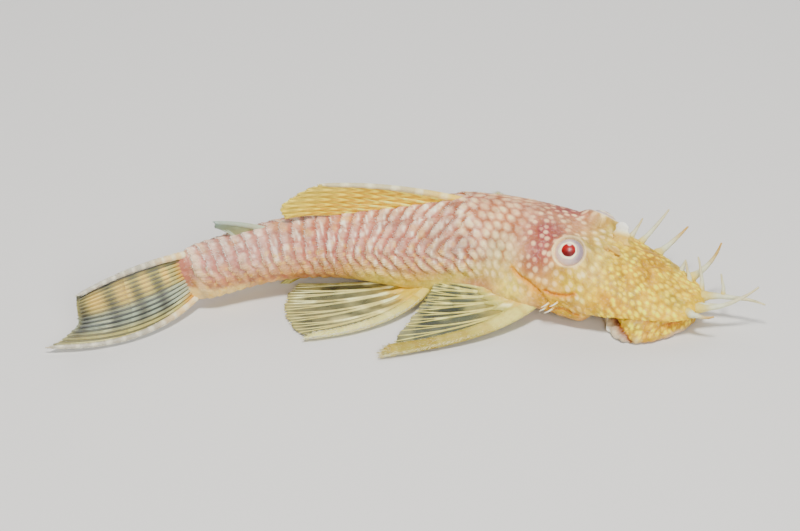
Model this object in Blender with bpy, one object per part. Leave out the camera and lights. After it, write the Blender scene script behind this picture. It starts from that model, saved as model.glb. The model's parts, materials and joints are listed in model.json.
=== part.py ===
# A bristlenose pleco lying on its belly: head turned and tail swept to its right side,
# dorsal fin folded back, paired fins spread flat, snout feelers raised.
# The body is laid out straight (s back from the snout, u to the fish's left, z up, in mm)
# and then bent along the spine. Lengths are millimetres until the meshes are made.
import math

import bpy
import bmesh
import numpy as np

for old in list(bpy.data.objects):
    bpy.data.objects.remove(old)

MM = 0.001
GAP = 0.3                    # clearance between touching pieces

# ------------------------------------------------------------------ named sizes
STANDARD_LENGTH = 78.8       # snout tip to the base of the tail fin
EYE_S, EYE_U, EYE_Z = 18.6, 5.85, 9.75
EYE_RADIUS = 2.2
EYE_DEPTH = 1.75             # half its thickness along the way it looks
EYE_TILT = math.radians(50)  # how far the eye looks up from level
EYE_AHEAD = math.radians(14)  # how far it looks forward
SNOUT_END = 15.4             # where the snout node ends and the head node begins
HEAD_END = 28.8
TRUNK_END = 57.8
CUT = 0.18                   # half of the cut between body nodes
RING = 28                    # points round a body section

# station s -> value
HALF_WIDTH = ((0, 0.0), (0.5, 2.7), (1.5, 4.5), (3, 5.8), (5, 6.9), (8.5, 8.2), (13, 9.4), (18.6, 10.1), (24, 10.6),
              (29, 10.1), (36, 9.0), (44, 7.8), (51, 6.8), (59, 5.5), (69, 4.1), (77, 3.1), (80, 2.7))
TOP = ((0, 3.2), (0.5, 4.1), (1.5, 4.8), (3, 5.3), (5, 6.2), (8.5, 7.8), (13.5, 9.7), (18.6, 11.3), (24.5, 12.3),
       (30.5, 13.1), (35.8, 13.4), (40.5, 12.5), (48, 11.3), (58, 10.6), (64, 10.4), (69, 10.0), (75, 9.5), (80, 9.4))
BOTTOM = ((0, 2.4), (2, 2.2), (13.4, 2.2), (14.1, 1.2), (15.6, -0.25), (44, -0.2), (49, 0.3), (54, 1.1), (60, 1.9), (66, 2.0),
          (72, 1.7), (80, 1.2))   # below 0 the belly is pressed flat on the floor
WIDEST = ((0, 2.8), (2, 3.1), (8, 3.3), (16, 3.2), (24, 3.0), (30, 2.8), (44, 3.2), (59, 4.4), (71, 5.4), (80, 5.6))
UPPER_POWER = ((0, 2.0), (10, 2.1), (20, 2.2), (28, 2.05), (36, 1.85), (54, 1.9), (80, 2.1))
LOWER_POWER = ((0, 2.2), (12, 2.6), (16, 2.8), (20, 1.9), (26, 1.8), (33, 2.6), (40, 3.0), (52, 2.4), (59, 2.2), (80, 2.1))
HEADING = ((0, -28), (20, -28), (29, -19), (36, -7.5), (44, -1), (51, 5), (59, 14), (69, 25), (78.8, 31), (112, 31))
TAIL_LEAN = ((0, 0.0), (55, 0.0), (78.8, 0.14), (112, 0.14))   # sections tip back at the top
HEAD_ROLL = ((0, 0.05), (24, 0.05), (40, 0.0))                 # the top of the head dips to the left
TAIL_ROLL = ((0, 0.0), (55, 0.0), (78.8, 0.17), (112, 0.17))   # sections tip to the left at the top
SPINE_AT = (EYE_S, 27.0, -1.6)   # station, X, Y that the spine passes through


def smooth(table):
    """Monotone cubic through the (station, value) pairs."""
    x, y = (np.array(column, float) for column in zip(*table))
    h, d = np.diff(x), np.diff(y) / np.diff(x)
    m = np.empty(len(x))
    m[0], m[-1] = d[0], d[-1]
    for i in range(1, len(x) - 1):
        if d[i - 1] * d[i] <= 0:
            m[i] = 0
        else:
            a, b = 2 * h[i] + h[i - 1], h[i] + 2 * h[i - 1]
            m[i] = (a + b) / (a / d[i - 1] + b / d[i])

    def value(at):
        at = np.clip(np.asarray(at, float), x[0], x[-1])
        i = np.clip(np.searchsorted(x, at, side="right") - 1, 0, len(x) - 2)
        t = (at - x[i]) / h[i]
        return ((2 * t**3 - 3 * t**2 + 1) * y[i] + (t**3 - 2 * t**2 + t) * h[i] * m[i]
                + (3 * t**2 - 2 * t**3) * y[i + 1] + (t**3 - t**2) * h[i] * m[i + 1])
    return value


half_width, top, bottom, widest = smooth(HALF_WIDTH), smooth(TOP), smooth(BOTTOM), smooth(WIDEST)
upper_power, lower_power = smooth(UPPER_POWER), smooth(LOWER_POWER)
heading, tail_lean, tail_roll = smooth(HEADING), smooth(TAIL_LEAN), smooth(TAIL_ROLL)
head_roll = smooth(HEAD_ROLL)

# the spine, as points every 0.1 mm from the head back to past the tail fin
SPINE_S = np.arange(-20, 115, 0.1)
_h = np.radians(heading(SPINE_S))
_x = -np.concatenate([[0], np.cumsum(0.05 * (np.cos(_h[1:]) + np.cos(_h[:-1])))])
_y = -np.concatenate([[0], np.cumsum(0.05 * (np.sin(_h[1:]) + np.sin(_h[:-1])))])
SPINE_X = _x - np.interp(SPINE_AT[0], SPINE_S, _x) + SPINE_AT[1]
SPINE_Y = _y - np.interp(SPINE_AT[0], SPINE_S, _y) + SPINE_AT[2]


def bend(p):
    """Straight-body points (s, u, z) to bent ones (X, Y, Z)."""
    p = np.asarray(p, float)
    s, u, z = p[..., 0], p[..., 1], p[..., 2]
    z = z - head_roll(s) * u * np.clip((z - 2.5) / 8, 0, 1.2)
    u = u + tail_roll(s) * (z - 5.5)
    s = s + tail_lean(s) * (z - 5.5)
    h = np.radians(heading(s))
    return np.stack([np.interp(s, SPINE_S, SPINE_X) - u * np.sin(h),
                     np.interp(s, SPINE_S, SPINE_Y) + u * np.cos(h), z], -1)


def power(x, p):
    return np.sign(x) * np.abs(x) ** p


def body(s, angle, grow=0.0):
    """A point of the body's surface: angle 0 at the back's midline, 90 degrees at the left side."""
    s, angle = np.broadcast_arrays(np.asarray(s, float), np.asarray(angle, float))
    w, zt, zb, zw = half_width(s) + grow, top(s) + grow, bottom(s) - grow, widest(s)
    c, q = np.cos(angle), np.sin(angle)
    up = c >= 0
    n = 2 / np.where(up, upper_power(s), lower_power(s))
    u = w * power(q, n)
    z = zw + np.where(up, zt - zw, zw - zb) * power(c, n)
    rim = np.exp(-(((s - EYE_S) / 3.0) ** 2 + ((np.abs(u) - EYE_U + 0.6) / 2.2) ** 2))
    z = np.where(up, z + 0.9 * rim, z)
    return np.stack([s, u, z], -1)


# ------------------------------------------------------------------ mesh helpers
def make(name, points, faces, colour, rough):
    mesh = bpy.data.meshes.new(name)
    mesh.from_pydata([tuple(MM * np.asarray(p, float)) for p in points], [], faces)
    bm = bmesh.new()
    bm.from_mesh(mesh)
    bmesh.ops.remove_doubles(bm, verts=bm.verts, dist=1e-6)
    bmesh.ops.triangulate(bm, faces=[f for f in bm.faces if len(f.verts) > 4])
    bmesh.ops.recalc_face_normals(bm, faces=bm.faces)
    bm.to_mesh(mesh)
    bm.free()
    mesh.shade_smooth()
    obj = bpy.data.objects.new(name, mesh)
    bpy.context.scene.collection.objects.link(obj)
    if colour is not None:
        material = bpy.data.materials.new(name)
        material.use_nodes = True
        shader = material.node_tree.nodes["Principled BSDF"]
        shader.inputs["Base Color"].default_value = (*colour, 1)
        shader.inputs["Roughness"].default_value = rough
        shader.inputs["Metallic"].default_value = 0
        material.diffuse_color = (*colour, 1)
        mesh.materials.append(material)
    return obj


def helper(obj):
    obj.hide_render = True
    obj.display_type = "WIRE"
    return obj


def boolean(obj, other, operation):
    modifier = obj.modifiers.new(operation.lower(), "BOOLEAN")
    modifier.operation, modifier.solver, modifier.object = operation, "EXACT", other


def bake(obj):
    """Settles the modifiers into the mesh and takes their helpers away."""
    graph = bpy.context.evaluated_depsgraph_get()
    mesh = bpy.data.meshes.new_from_object(obj.evaluated_get(graph))
    used = [m.object for m in obj.modifiers]
    obj.modifiers.clear()
    obj.data = mesh
    return used


def loft(rings):
    """Points and faces of a closed solid through rings of equal count, its ends closed on their middles."""
    n = len(rings[0])
    points = [p for ring in rings for p in ring]
    faces = [(i * n + j, i * n + (j + 1) % n, (i + 1) * n + (j + 1) % n, (i + 1) * n + j)
             for i in range(len(rings) - 1) for j in range(n)]
    for ring, start in ((rings[0], 0), (rings[-1], (len(rings) - 1) * n)):
        points.append(np.mean(ring, 0))
        faces += [(start + j, start + (j + 1) % n, len(points) - 1) for j in range(n)]
    return points, faces


def slab(middle, normal, thick, floor=None):
    """Points and faces of a sheet of rays: middle and normal are (rays, steps, 3) and thick (rays, steps)."""
    middle, normal = np.asarray(middle, float), np.asarray(normal, float)
    half = 0.5 * thick[..., None] * normal
    front, back = middle + half, middle - half
    if floor is not None:
        for side in (front, back):
            side[..., 2] = np.maximum(side[..., 2], floor)
    r, c = middle.shape[:2]
    points = list(front.reshape(-1, 3)) + list(back.reshape(-1, 3))
    at = lambda side, i, j: side * r * c + i * c + j
    faces = []
    for i in range(r - 1):
        for j in range(c - 1):
            faces.append((at(0, i, j), at(0, i + 1, j), at(0, i + 1, j + 1), at(0, i, j + 1)))
            faces.append((at(1, i, j), at(1, i, j + 1), at(1, i + 1, j + 1), at(1, i + 1, j)))
    border = ([(i, 0) for i in range(r)] + [(r - 1, j) for j in range(1, c)]
              + [(i, c - 1) for i in range(r - 2, -1, -1)] + [(0, j) for j in range(c - 2, 0, -1)])
    for a, b in zip(border, border[1:] + border[:1]):
        faces.append((at(0, *a), at(0, *b), at(1, *b), at(1, *a)))
    return points, faces


def body_solid(name, stations, colour, rough, grow=0.0, flat=True):
    angles = 2 * math.pi * np.arange(RING) / RING
    rings = []
    for s in stations:
        ring = body(s, angles, grow)
        if flat:
            ring[:, 2] = np.maximum(ring[:, 2], 0)
        rings.append(bend(ring))
    return make(name, *loft(rings), colour, rough)


# ------------------------------------------------------------------ body nodes
PINK, GOLD, ROSE = (0.72, 0.42, 0.36), (0.78, 0.52, 0.24), (0.75, 0.38, 0.32)
nose = [0.06, 0.35, 0.9, 1.7, 2.8, 4.2, 6.0, 8.2, 10.6, 12.8, 14.2, 14.7, SNOUT_END - CUT]
snout = body_solid("snout", nose, GOLD, 0.5)
head = body_solid("head", np.linspace(SNOUT_END + CUT, HEAD_END - CUT, 10), PINK, 0.5)
trunk = body_solid("trunk", np.linspace(HEAD_END + CUT, TRUNK_END - CUT, 15), PINK, 0.5)
tail = body_solid("tail", np.linspace(TRUNK_END + CUT, STANDARD_LENGTH, 10), PINK, 0.5)
cutter_stations = [0.06, 0.5, 1.5, 3, 6, 10, 14, 18, 22, 26, 30, 34, 38, 42, 46, 50, 54, 58, 62, 66, 70, 74, 78, 79.2]
clearance = helper(body_solid("clearance", cutter_stations, None, 0, GAP + 0.12, flat=False))


# ------------------------------------------------------------------ eyes
def eye_axis(side):
    h = math.radians(float(heading(EYE_S)))
    ahead = np.array([math.cos(h), math.sin(h), 0])
    out = side * np.array([-math.sin(h), math.cos(h), 0])
    level = math.cos(EYE_AHEAD) * out + math.sin(EYE_AHEAD) * ahead
    return math.cos(EYE_TILT) * level + math.sin(EYE_TILT) * np.array([0, 0, 1.0])


def eyeball(name, centre, axis, radius, depth, colour, rough, around=16, up=9):
    """A ball flattened along the way the eye looks."""
    rings = []
    for i in range(1, up):
        a = math.pi * i / up
        rings.append([radius * np.array([math.sin(a) * math.cos(b), math.sin(a) * math.sin(b), math.cos(a)])
                      for b in 2 * math.pi * np.arange(around) / around])
    points, faces = loft(rings)
    points[-2], points[-1] = np.array([0, 0, radius]), -np.array([0, 0, radius])
    points = [centre + p - (1 - depth / radius) * np.dot(p, axis) * axis for p in points]
    return make(name, points, faces, colour, rough)


for side, label in ((1, "left"), (-1, "right")):
    centre, axis = bend((EYE_S, side * EYE_U, EYE_Z)), eye_axis(side)
    eyeball("eye_" + label, centre, axis, EYE_RADIUS, EYE_DEPTH, (0.75, 0.25, 0.2), 0.12)
    socket = eyeball("socket_" + label, centre, axis, EYE_RADIUS + GAP, EYE_DEPTH + GAP, None, 0)
    boolean(head, helper(socket), "DIFFERENCE")


# ------------------------------------------------------------------ gill covers, with their cheek hooks
GILL_S = (16.6, 22.0)
GILL_ANGLE = (math.radians(68), math.radians(92))
HOOKS = ((18.4, 0.72, 2.1), (19.0, 0.45, 2.4), (19.7, 0.62, 2.0), (20.1, 0.35, 1.7))   # station, height share, length


def gill_patch(side, margin, outer, inner):
    """A piece of the cheek's surface with rounded corners, thickened inwards."""
    n = 6
    a, b = np.meshgrid(np.linspace(-1, 1, n), np.linspace(-1, 1, n), indexing="ij")
    x, y = a * np.sqrt(1 - 0.42 * b**2), b * np.sqrt(1 - 0.42 * a**2)
    s = np.mean(GILL_S) + x * (np.diff(GILL_S)[0] / 2 + margin)
    angle = np.mean(GILL_ANGLE) + y * (np.diff(GILL_ANGLE)[0] / 2 + margin / 10)
    far, near = bend(body(s, side * angle, outer)), bend(body(s, side * angle, -inner))
    points = list(far.reshape(-1, 3)) + list(near.reshape(-1, 3))
    at = lambda k, i, j: k * n * n + i * n + j
    faces = []
    for i in range(n - 1):
        for j in range(n - 1):
            for k in (0, 1):
                faces.append((at(k, i, j), at(k, i + 1, j), at(k, i + 1, j + 1), at(k, i, j + 1)))
    border = ([(i, 0) for i in range(n)] + [(n - 1, j) for j in range(1, n)]
              + [(i, n - 1) for i in range(n - 2, -1, -1)] + [(0, j) for j in range(n - 2, 0, -1)])
    for p, q in zip(border, border[1:] + border[:1]):
        faces.append((at(0, *p), at(0, *q), at(1, *q), at(1, *p)))
    return points, faces


def tube(path, radii, sides=6):
    """A closed tapering tube along a list of points."""
    path = np.asarray(path, float)
    along = np.gradient(path, axis=0)
    along /= np.linalg.norm(along, axis=1)[:, None]
    across = np.cross(along[0], (0, 0, 1.0) if abs(along[0][2]) < 0.9 else (1.0, 0, 0))
    rings = []
    for p, t, r in zip(path, along, radii):
        across = across - t * across.dot(t)
        across /= np.linalg.norm(across)
        other = np.cross(t, across)
        rings.append([p + r * (math.cos(a) * across + math.sin(a) * other)
                      for a in 2 * math.pi * np.arange(sides) / sides])
    return loft(rings)


for side, label in ((1, "left"), (-1, "right")):
    boolean(head, helper(make("pocket_" + label, *gill_patch(side, GAP, 2.0, 1.1 + GAP), None, 0)), "DIFFERENCE")
    cover = make("opercle_" + label, *gill_patch(side, 0, 0.25, 1.1), ROSE, 0.45)
    for number, (s, share, length) in enumerate(HOOKS):
        angle = side * (GILL_ANGLE[1] + share * (GILL_ANGLE[0] - GILL_ANGLE[1]))
        t = np.linspace(0, 1, 4)
        root = body(s, angle, -0.3)
        line = np.stack([root[0] - 0.3 * length * t + 0.9 * length * t**2, root[1] + side * (0.9 * t + 0.25 * length * t),
                         root[2] - 0.1 * t], -1)
        hook = make(f"hook_{label}_{number}", *tube(bend(line), (0.42, 0.38, 0.32, 0.25)), None, 0)
        boolean(cover, helper(hook), "UNION")
    bake(cover)
bake(head)


# ------------------------------------------------------------------ sucker disc under the snout
DISC_S, DISC_REACH, DISC_HALF = 7.7, 6.3, 8.5   # middle station, half length, half width
DISC_TOP, DISC_HOLLOW = 1.9, 1.0
DISC_LOBE, DISC_REAR = 0.12, 0.13               # how much wider the rear corners of the lips are, and how much shorter the rear middle


def disc():
    around = 32
    a = 2 * math.pi * np.arange(around) / around

    def loop(share, z):
        turned = np.abs((a + math.pi) % (2 * math.pi) - math.pi)
        lobe = 1 + 0.03 * np.cos(4 * a) + DISC_LOBE * np.exp(-((turned - 1.95) / 0.9) ** 2) - DISC_REAR * np.exp(-((turned - math.pi) / 0.6) ** 2)
        return bend(np.stack([DISC_S - DISC_REACH * share * lobe * np.cos(a), DISC_HALF * share * lobe * np.sin(a),
                              np.full(around, z)], -1))
    rings = [loop(0.18, DISC_HOLLOW + 0.15), loop(0.45, DISC_HOLLOW), loop(0.66, 0.45), loop(0.74, 0.0), loop(0.95, 0.0),
             loop(1.0, 0.35), loop(1.0, 0.75), loop(0.93, 1.35), loop(0.82, DISC_TOP), loop(0.3, DISC_TOP)]
    return make("mouth_disc", *loft(rings), (0.85, 0.72, 0.62), 0.4)


disc()

# ------------------------------------------------------------------ feelers of the snout
# root station, root angle from the back's midline (left positive), length, root radius, tip radius,
# bearing from straight ahead (left positive) at the root and its change, lift at the root and its change (degrees)
FEELERS = (
    (14.7, 52, 2.9, 0.36, 0.25, 70, -6, 35, 20),
    (13.4, 58, 6.6, 0.46, 0.26, 66, 6, 26, 8),
    (10.5, 62, 6.4, 0.60, 0.27, 64, 6, 16, 10),
    (5.6, 50, 1.4, 0.30, 0.25, 70, 0, 60, 0),
    (4.4, 66, 6.6, 0.62, 0.27, 48, -6, 18, 58),
    (3.4, 40, 2.6, 0.32, 0.25, 130, 30, 58, 10),
    (1.6, 58, 4.4, 0.30, 0.25, 100, 60, 50, 16),
    (1.2, 42, 8.5, 0.60, 0.26, 20, -18, 8, -14),
    (0.8, -28, 9.0, 0.56, 0.26, 26, 10, -2, 44),
    (0.8, -14, 2.2, 0.40, 0.26, 28, 0, 6, 0),
    (1.4, -52, 3.4, 0.50, 0.26, -26, 54, -4, 14),
)
FORK = (7, 0.4, 3.2, 0.27, 0.25, 100, 60, 55, 10)   # which feeler, how far along it, then length, radii and bearings


def feeler(start, length, root, tip, bearing, turn, lift, rise):
    steps = 7
    t = np.linspace(0, 1, steps)
    h = np.radians(float(heading(0)) + bearing + turn * t)
    v = np.radians(lift + rise * t)
    step = np.stack([np.cos(h) * np.cos(v), np.sin(h) * np.cos(v), np.sin(v)], -1) * length / (steps - 1)
    path = start + np.concatenate([[np.zeros(3)], np.cumsum(0.5 * (step[1:] + step[:-1]), 0)])
    path[:, 2] = np.maximum(path[:, 2], 0.35)
    return path, root + (tip - root) * t**0.8


paths = []
for s, angle, length, *rest in FEELERS:
    paths.append(feeler(bend(body(s, math.radians(angle), -0.8)), length + 0.8, *rest))
paths.append(feeler(paths[FORK[0]][0][2], *FORK[2:]))
# the flap between the two openings of each nostril, the left one standing up and the right one low:
# side, station, distance from the midline, length, bearing and lift
FLAPS = ((1, 13.9, 1.8, 2.8, 100, 66), (-1, 13.7, 1.7, 1.3, -20, 60))
for side, s, u, length, *way in FLAPS:
    angle = side * math.asin((u / float(half_width(s))) ** (float(upper_power(s)) / 2))
    paths.append(feeler(bend(body(s, angle, -0.7)), length + 0.7, 0.9, 0.35, way[0], 0, way[1], 10))
for number, (path, radii) in enumerate(paths):
    boolean(snout, helper(make(f"feeler_{number}", *tube(path, radii), None, 0)), "UNION")
bake(snout)


# ------------------------------------------------------------------ fins
def unit(v):
    return v / np.linalg.norm(v, axis=-1, keepdims=True)


def sheet_normals(middle):
    du, dv = np.gradient(middle, axis=0), np.gradient(middle, axis=1)
    return unit(np.cross(du, dv))


FIN_THICK, RIB = 0.55, 0.3     # a fin between its rays, and how much thicker each ray is

def upright(bases, tips, sink, bow, steps=6, side=0.0):
    """Middle points and normals of a fin on the midline; bases and tips: (station, height) per ray; each ray starts
    sink below its base and bows upwards by its share of bow, and its tip leans side to the left."""
    bases, tips = np.asarray(bases, float), np.asarray(tips, float)
    t = np.linspace(0, 1, steps)[None, :]
    s = bases[:, :1] + (tips[:, :1] - bases[:, :1]) * t
    z = bases[:, 1:] - sink + (tips[:, 1:] - bases[:, 1:] + sink) * t + bow * 4 * t * (1 - t)
    u = side * t + 0 * s
    middle = np.stack([s, u, z], -1)
    h = np.radians(heading(s))
    normal = np.stack([-np.sin(h), np.cos(h), 0 * h], -1)
    points = bend(middle)
    points[..., 2] = np.maximum(points[..., 2], 0.0)
    return points, normal


# dorsal fin: one spine and seven rays, folded back
DORSAL_BASE = (35.6, 54.3)
DORSAL_TIP = ((59.0, 16.3), (62.4, 14.8), (64.6, 13.0), (64.0, 11.2))
lines = 13                   # every other one a ray
j = np.linspace(0, 1, lines)
base_s = DORSAL_BASE[0] + (DORSAL_BASE[1] - DORSAL_BASE[0]) * j
tip_s = smooth([(k / 3, p[0]) for k, p in enumerate(DORSAL_TIP)])(j)
tip_z = smooth([(k / 3, p[1]) for k, p in enumerate(DORSAL_TIP)])(j)
points, normal = upright(np.stack([base_s, top(base_s)], -1), np.stack([tip_s, tip_z], -1), 0.8, 0.5, side=-0.8)
thick = FIN_THICK + RIB * (np.arange(lines)[:, None] % 2 == 0) * np.linspace(1, 0.4, points.shape[1])[None, :]
thick[0] = np.linspace(1.3, 0.8, points.shape[1])
fin = make("dorsal_fin", *slab(points, normal, thick), (0.8, 0.6, 0.25), 0.45)
boolean(fin, clearance, "DIFFERENCE")
bake(fin)

# adipose fin: a short spine with its flap
ADIPOSE_S, ADIPOSE_REACH, ADIPOSE_HEIGHT = (65.6, 70.8), 8.2, 2.2
t = np.linspace(0, 1, 4)
base = np.stack([ADIPOSE_S[0] + (ADIPOSE_S[1] - ADIPOSE_S[0]) * t, top(ADIPOSE_S[0] + (ADIPOSE_S[1] - ADIPOSE_S[0]) * t)], -1)
tips = np.stack([ADIPOSE_S[0] + ADIPOSE_REACH + 0 * t, top(ADIPOSE_S[0]) + ADIPOSE_HEIGHT - 0.45 * t * ADIPOSE_HEIGHT], -1)
points, normal = upright(base, tips, 0.8, 0.3, steps=4)
thick = np.full(points.shape[:2], FIN_THICK)
thick[0] = (1.0, 0.9, 0.8, 0.7)
fin = make("adipose_fin", *slab(points, normal, thick), (0.8, 0.62, 0.4), 0.45)
boolean(fin, clearance, "DIFFERENCE")
bake(fin)

# tail fin: the lower lobe longer, its edge laid on the floor
CAUDAL_START = STANDARD_LENGTH + 0.35
CAUDAL_TIP = ((0, 96.8, 7.2), (0.33, 97.3, 5.3), (0.6, 97.7, 3.3), (0.82, 100.0, 1.8), (1, 103.2, 0.9))  # share, s, z
CAUDAL_SPLAY = 3.4           # how far the lower edge swings out along the floor to the right
rays, steps = 15, 8
j, t = np.linspace(0, 1, rays)[:, None], np.linspace(0, 1, steps)[None, :]
tip_s, tip_z = smooth([(a, b) for a, b, c in CAUDAL_TIP])(j), smooth([(a, c) for a, b, c in CAUDAL_TIP])(j)
s = CAUDAL_START + (tip_s - CAUDAL_START) * t
z = 9.1 - 7.6 * j + (tip_z - 9.1 + 7.6 * j) * t + 0.7 * (1 - 2 * j) * 4 * t * (1 - t)
u = -CAUDAL_SPLAY * j**1.4 * 4 * t * (1 - t) + 0 * s
points = bend(np.stack([s, u, z], -1))
normal = sheet_normals(points)
normal *= np.sign(normal[..., 1:2])
thick = np.linspace(1.1, FIN_THICK, steps)[None, :] + RIB * (np.arange(rays)[:, None] % 2 == 0)
thick[0], thick[-1] = np.linspace(1.7, 0.8, steps), np.linspace(1.7, 0.8, steps)
make("caudal_fin", *slab(points, normal, thick, 0.0), (0.8, 0.68, 0.5), 0.45)

# anal fin: small, folded back under the tail, its tips on the floor
ANAL_S, ANAL_TIP = (57.4, 61.0), (64.0, 65.4)
t = np.linspace(0, 1, 7)
base = np.stack([ANAL_S[0] + (ANAL_S[1] - ANAL_S[0]) * t, bottom(ANAL_S[0] + (ANAL_S[1] - ANAL_S[0]) * t)], -1)
tips = np.stack([ANAL_TIP[0] + (ANAL_TIP[1] - ANAL_TIP[0]) * t, 0.02 + 0.35 * t], -1)
points, normal = upright(base, tips, -0.6, 0.0, steps=5)
thick = FIN_THICK + RIB * (np.arange(7)[:, None] % 2 == 0) + np.zeros((1, 5))
fin = make("anal_fin", *slab(points, normal, thick, 0.0), (0.8, 0.62, 0.45), 0.45)
boolean(fin, clearance, "DIFFERENCE")
bake(fin)


def paired(name, root, run, bearing, curl, length, height, spine, colour, side, steps=8):
    """A spread fin. root: (station, u, z) of the spine's base; run: (ds, du, dz) from there to the last ray's base;
    bearing: outward angle from straight back of the spine's end and of the last ray; curl: how much wider each
    starts, and the power it dies out with; length: of the spine, of the last ray, power of the change, and bulge
    between; height: of the ends of the spine and of the last ray; spine: its thickness at the base and at the tip."""
    s, u, z = root
    rays = 13
    j, t = np.linspace(0, 1, rays), np.linspace(0, 1, steps)
    end = bearing[0] + (bearing[1] - bearing[0]) * j
    wide = curl[0] + (curl[1] - curl[0]) * j
    reach = length[0] + (length[1] - length[0]) * j ** length[2] + length[3] * np.sin(math.pi * j)
    rest = height[0] + (height[1] - height[0]) * j**1.5
    root_z = z + run[2] * j
    h = math.radians(float(heading(s)))
    start = bend(np.stack([s + run[0] * j, side * (u + run[1] * j), root_z], -1))
    middle = np.empty((rays, steps, 3))
    for i in range(rays):
        a = np.radians(end[i] + wide[i] * (1 - t) ** curl[2])
        back, out = np.array([-math.cos(h), -math.sin(h)]), side * np.array([-math.sin(h), math.cos(h)])
        step = (np.cos(a)[:, None] * back + np.sin(a)[:, None] * out) * reach[i] / (steps - 1)
        middle[i, :, :2] = start[i, :2] + np.concatenate([[np.zeros(2)], np.cumsum(0.5 * (step[1:] + step[:-1]), 0)])
        middle[i, :, 2] = rest[i] + (root_z[i] - rest[i]) * (1 - t) ** 1.6
    thick = FIN_THICK + RIB * (np.arange(rays)[:, None] % 2 == 0) * np.linspace(1, 0.3, steps)[None, :]
    thick[0] = np.linspace(*spine, steps)
    thick[1] = 0.6 * thick[0] + 0.4 * FIN_THICK
    middle[..., 2] = np.maximum(middle[..., 2], thick / 2)
    normal = sheet_normals(middle)
    normal *= np.sign(normal[..., 2:])
    fin = make(name, *slab(middle, normal, thick, 0.0), colour, 0.45)
    boolean(fin, clearance, "DIFFERENCE")
    bake(fin)


for side, label, sweep in ((1, "left", 21), (-1, "right", 0)):
    paired("pectoral_fin_" + label, (21.8, 9.3, 2.5), (8.0, 0.2, 0.9), (41 - sweep, 2), (34, 8, 2.0), (25.2, 9.3, 0.8, -1.7),
           (0.34, 3.5), (1.7, 0.85), (0.82, 0.62, 0.36), side)
    paired("pelvic_fin_" + label, (41.9, 7.1, 1.6), (2.6, -3.4, -0.8), (12 - 0.3 * sweep, 1), (56, 6, 1.3), (22.8, 17.6, 1.0, 1.6),
           (0.45, 0.5), (1.1, 0.7), (0.82, 0.62, 0.42), side)

# ------------------------------------------------------------------ placing: box centred, bottom at the floor
for obj in list(bpy.data.objects):
    if obj.hide_render:
        bpy.data.objects.remove(obj)
low, high = np.full(3, 1e9), np.full(3, -1e9)
for obj in bpy.data.objects:
    co = np.array([v.co for v in obj.data.vertices])
    low, high = np.minimum(low, co.min(0)), np.maximum(high, co.max(0))
shift = np.array([-(low[0] + high[0]) / 2, -(low[1] + high[1]) / 2, -low[2]])
for obj in bpy.data.objects:
    for v in obj.data.vertices:
        v.co = tuple(np.array(v.co) + shift)
print("shift mm", shift * 1000, "box mm", (high - low) * 1000)
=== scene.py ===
import json
import math

import bpy
import bmesh
import numpy as np
from mathutils import Matrix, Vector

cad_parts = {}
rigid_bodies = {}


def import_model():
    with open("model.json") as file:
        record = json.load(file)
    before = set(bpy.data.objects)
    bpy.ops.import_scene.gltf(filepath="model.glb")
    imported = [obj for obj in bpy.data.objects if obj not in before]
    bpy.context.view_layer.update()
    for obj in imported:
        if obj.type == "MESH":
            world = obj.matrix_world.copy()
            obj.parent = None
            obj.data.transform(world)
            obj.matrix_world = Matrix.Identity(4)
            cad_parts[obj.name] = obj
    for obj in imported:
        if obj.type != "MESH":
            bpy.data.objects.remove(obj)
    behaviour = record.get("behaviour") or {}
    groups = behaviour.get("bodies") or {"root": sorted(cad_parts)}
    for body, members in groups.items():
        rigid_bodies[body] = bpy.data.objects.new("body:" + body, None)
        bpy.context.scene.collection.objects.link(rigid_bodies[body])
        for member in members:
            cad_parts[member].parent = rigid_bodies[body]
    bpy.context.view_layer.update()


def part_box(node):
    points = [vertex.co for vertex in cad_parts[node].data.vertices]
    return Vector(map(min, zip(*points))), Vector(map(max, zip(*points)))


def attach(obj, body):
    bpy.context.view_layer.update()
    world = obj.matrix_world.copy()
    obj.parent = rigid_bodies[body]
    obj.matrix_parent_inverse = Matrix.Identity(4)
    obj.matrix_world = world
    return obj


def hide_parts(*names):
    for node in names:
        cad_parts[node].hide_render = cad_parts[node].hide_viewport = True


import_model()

MM = 0.001
rng = np.random.default_rng(11)

# ------------------------------------------------------------------ the body's design, as in the solids
EYE_S, EYE_U, EYE_Z = 18.6, 5.85, 9.75
HALF_WIDTH = ((0, 0.0), (0.5, 2.7), (1.5, 4.5), (3, 5.8), (5, 6.9), (8.5, 8.2), (13, 9.4), (18.6, 10.1), (24, 10.6),
              (29, 10.1), (36, 9.0), (44, 7.8), (51, 6.8), (59, 5.5), (69, 4.1), (77, 3.1), (80, 2.7))
TOP = ((0, 3.2), (0.5, 4.1), (1.5, 4.8), (3, 5.3), (5, 6.2), (8.5, 7.8), (13.5, 9.7), (18.6, 11.3), (24.5, 12.3),
       (30.5, 13.1), (35.8, 13.4), (40.5, 12.5), (48, 11.3), (58, 10.6), (64, 10.4), (69, 10.0), (75, 9.5), (80, 9.4))
BOTTOM = ((0, 2.4), (2, 2.2), (13.4, 2.2), (14.1, 1.2), (15.6, -0.25), (44, -0.2), (49, 0.3), (54, 1.1), (60, 1.9), (66, 2.0),
          (72, 1.7), (80, 1.2))
WIDEST = ((0, 2.8), (2, 3.1), (8, 3.3), (16, 3.2), (24, 3.0), (30, 2.8), (44, 3.2), (59, 4.4), (71, 5.4), (80, 5.6))
UPPER_POWER = ((0, 2.0), (10, 2.1), (20, 2.2), (28, 2.05), (36, 1.85), (54, 1.9), (80, 2.1))
LOWER_POWER = ((0, 2.2), (12, 2.6), (16, 2.8), (20, 1.9), (26, 1.8), (33, 2.6), (40, 3.0), (52, 2.4), (59, 2.2), (80, 2.1))
HEADING = ((0, -28), (20, -28), (29, -19), (36, -7.5), (44, -1), (51, 5), (59, 14), (69, 25), (78.8, 31), (112, 31))
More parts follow.
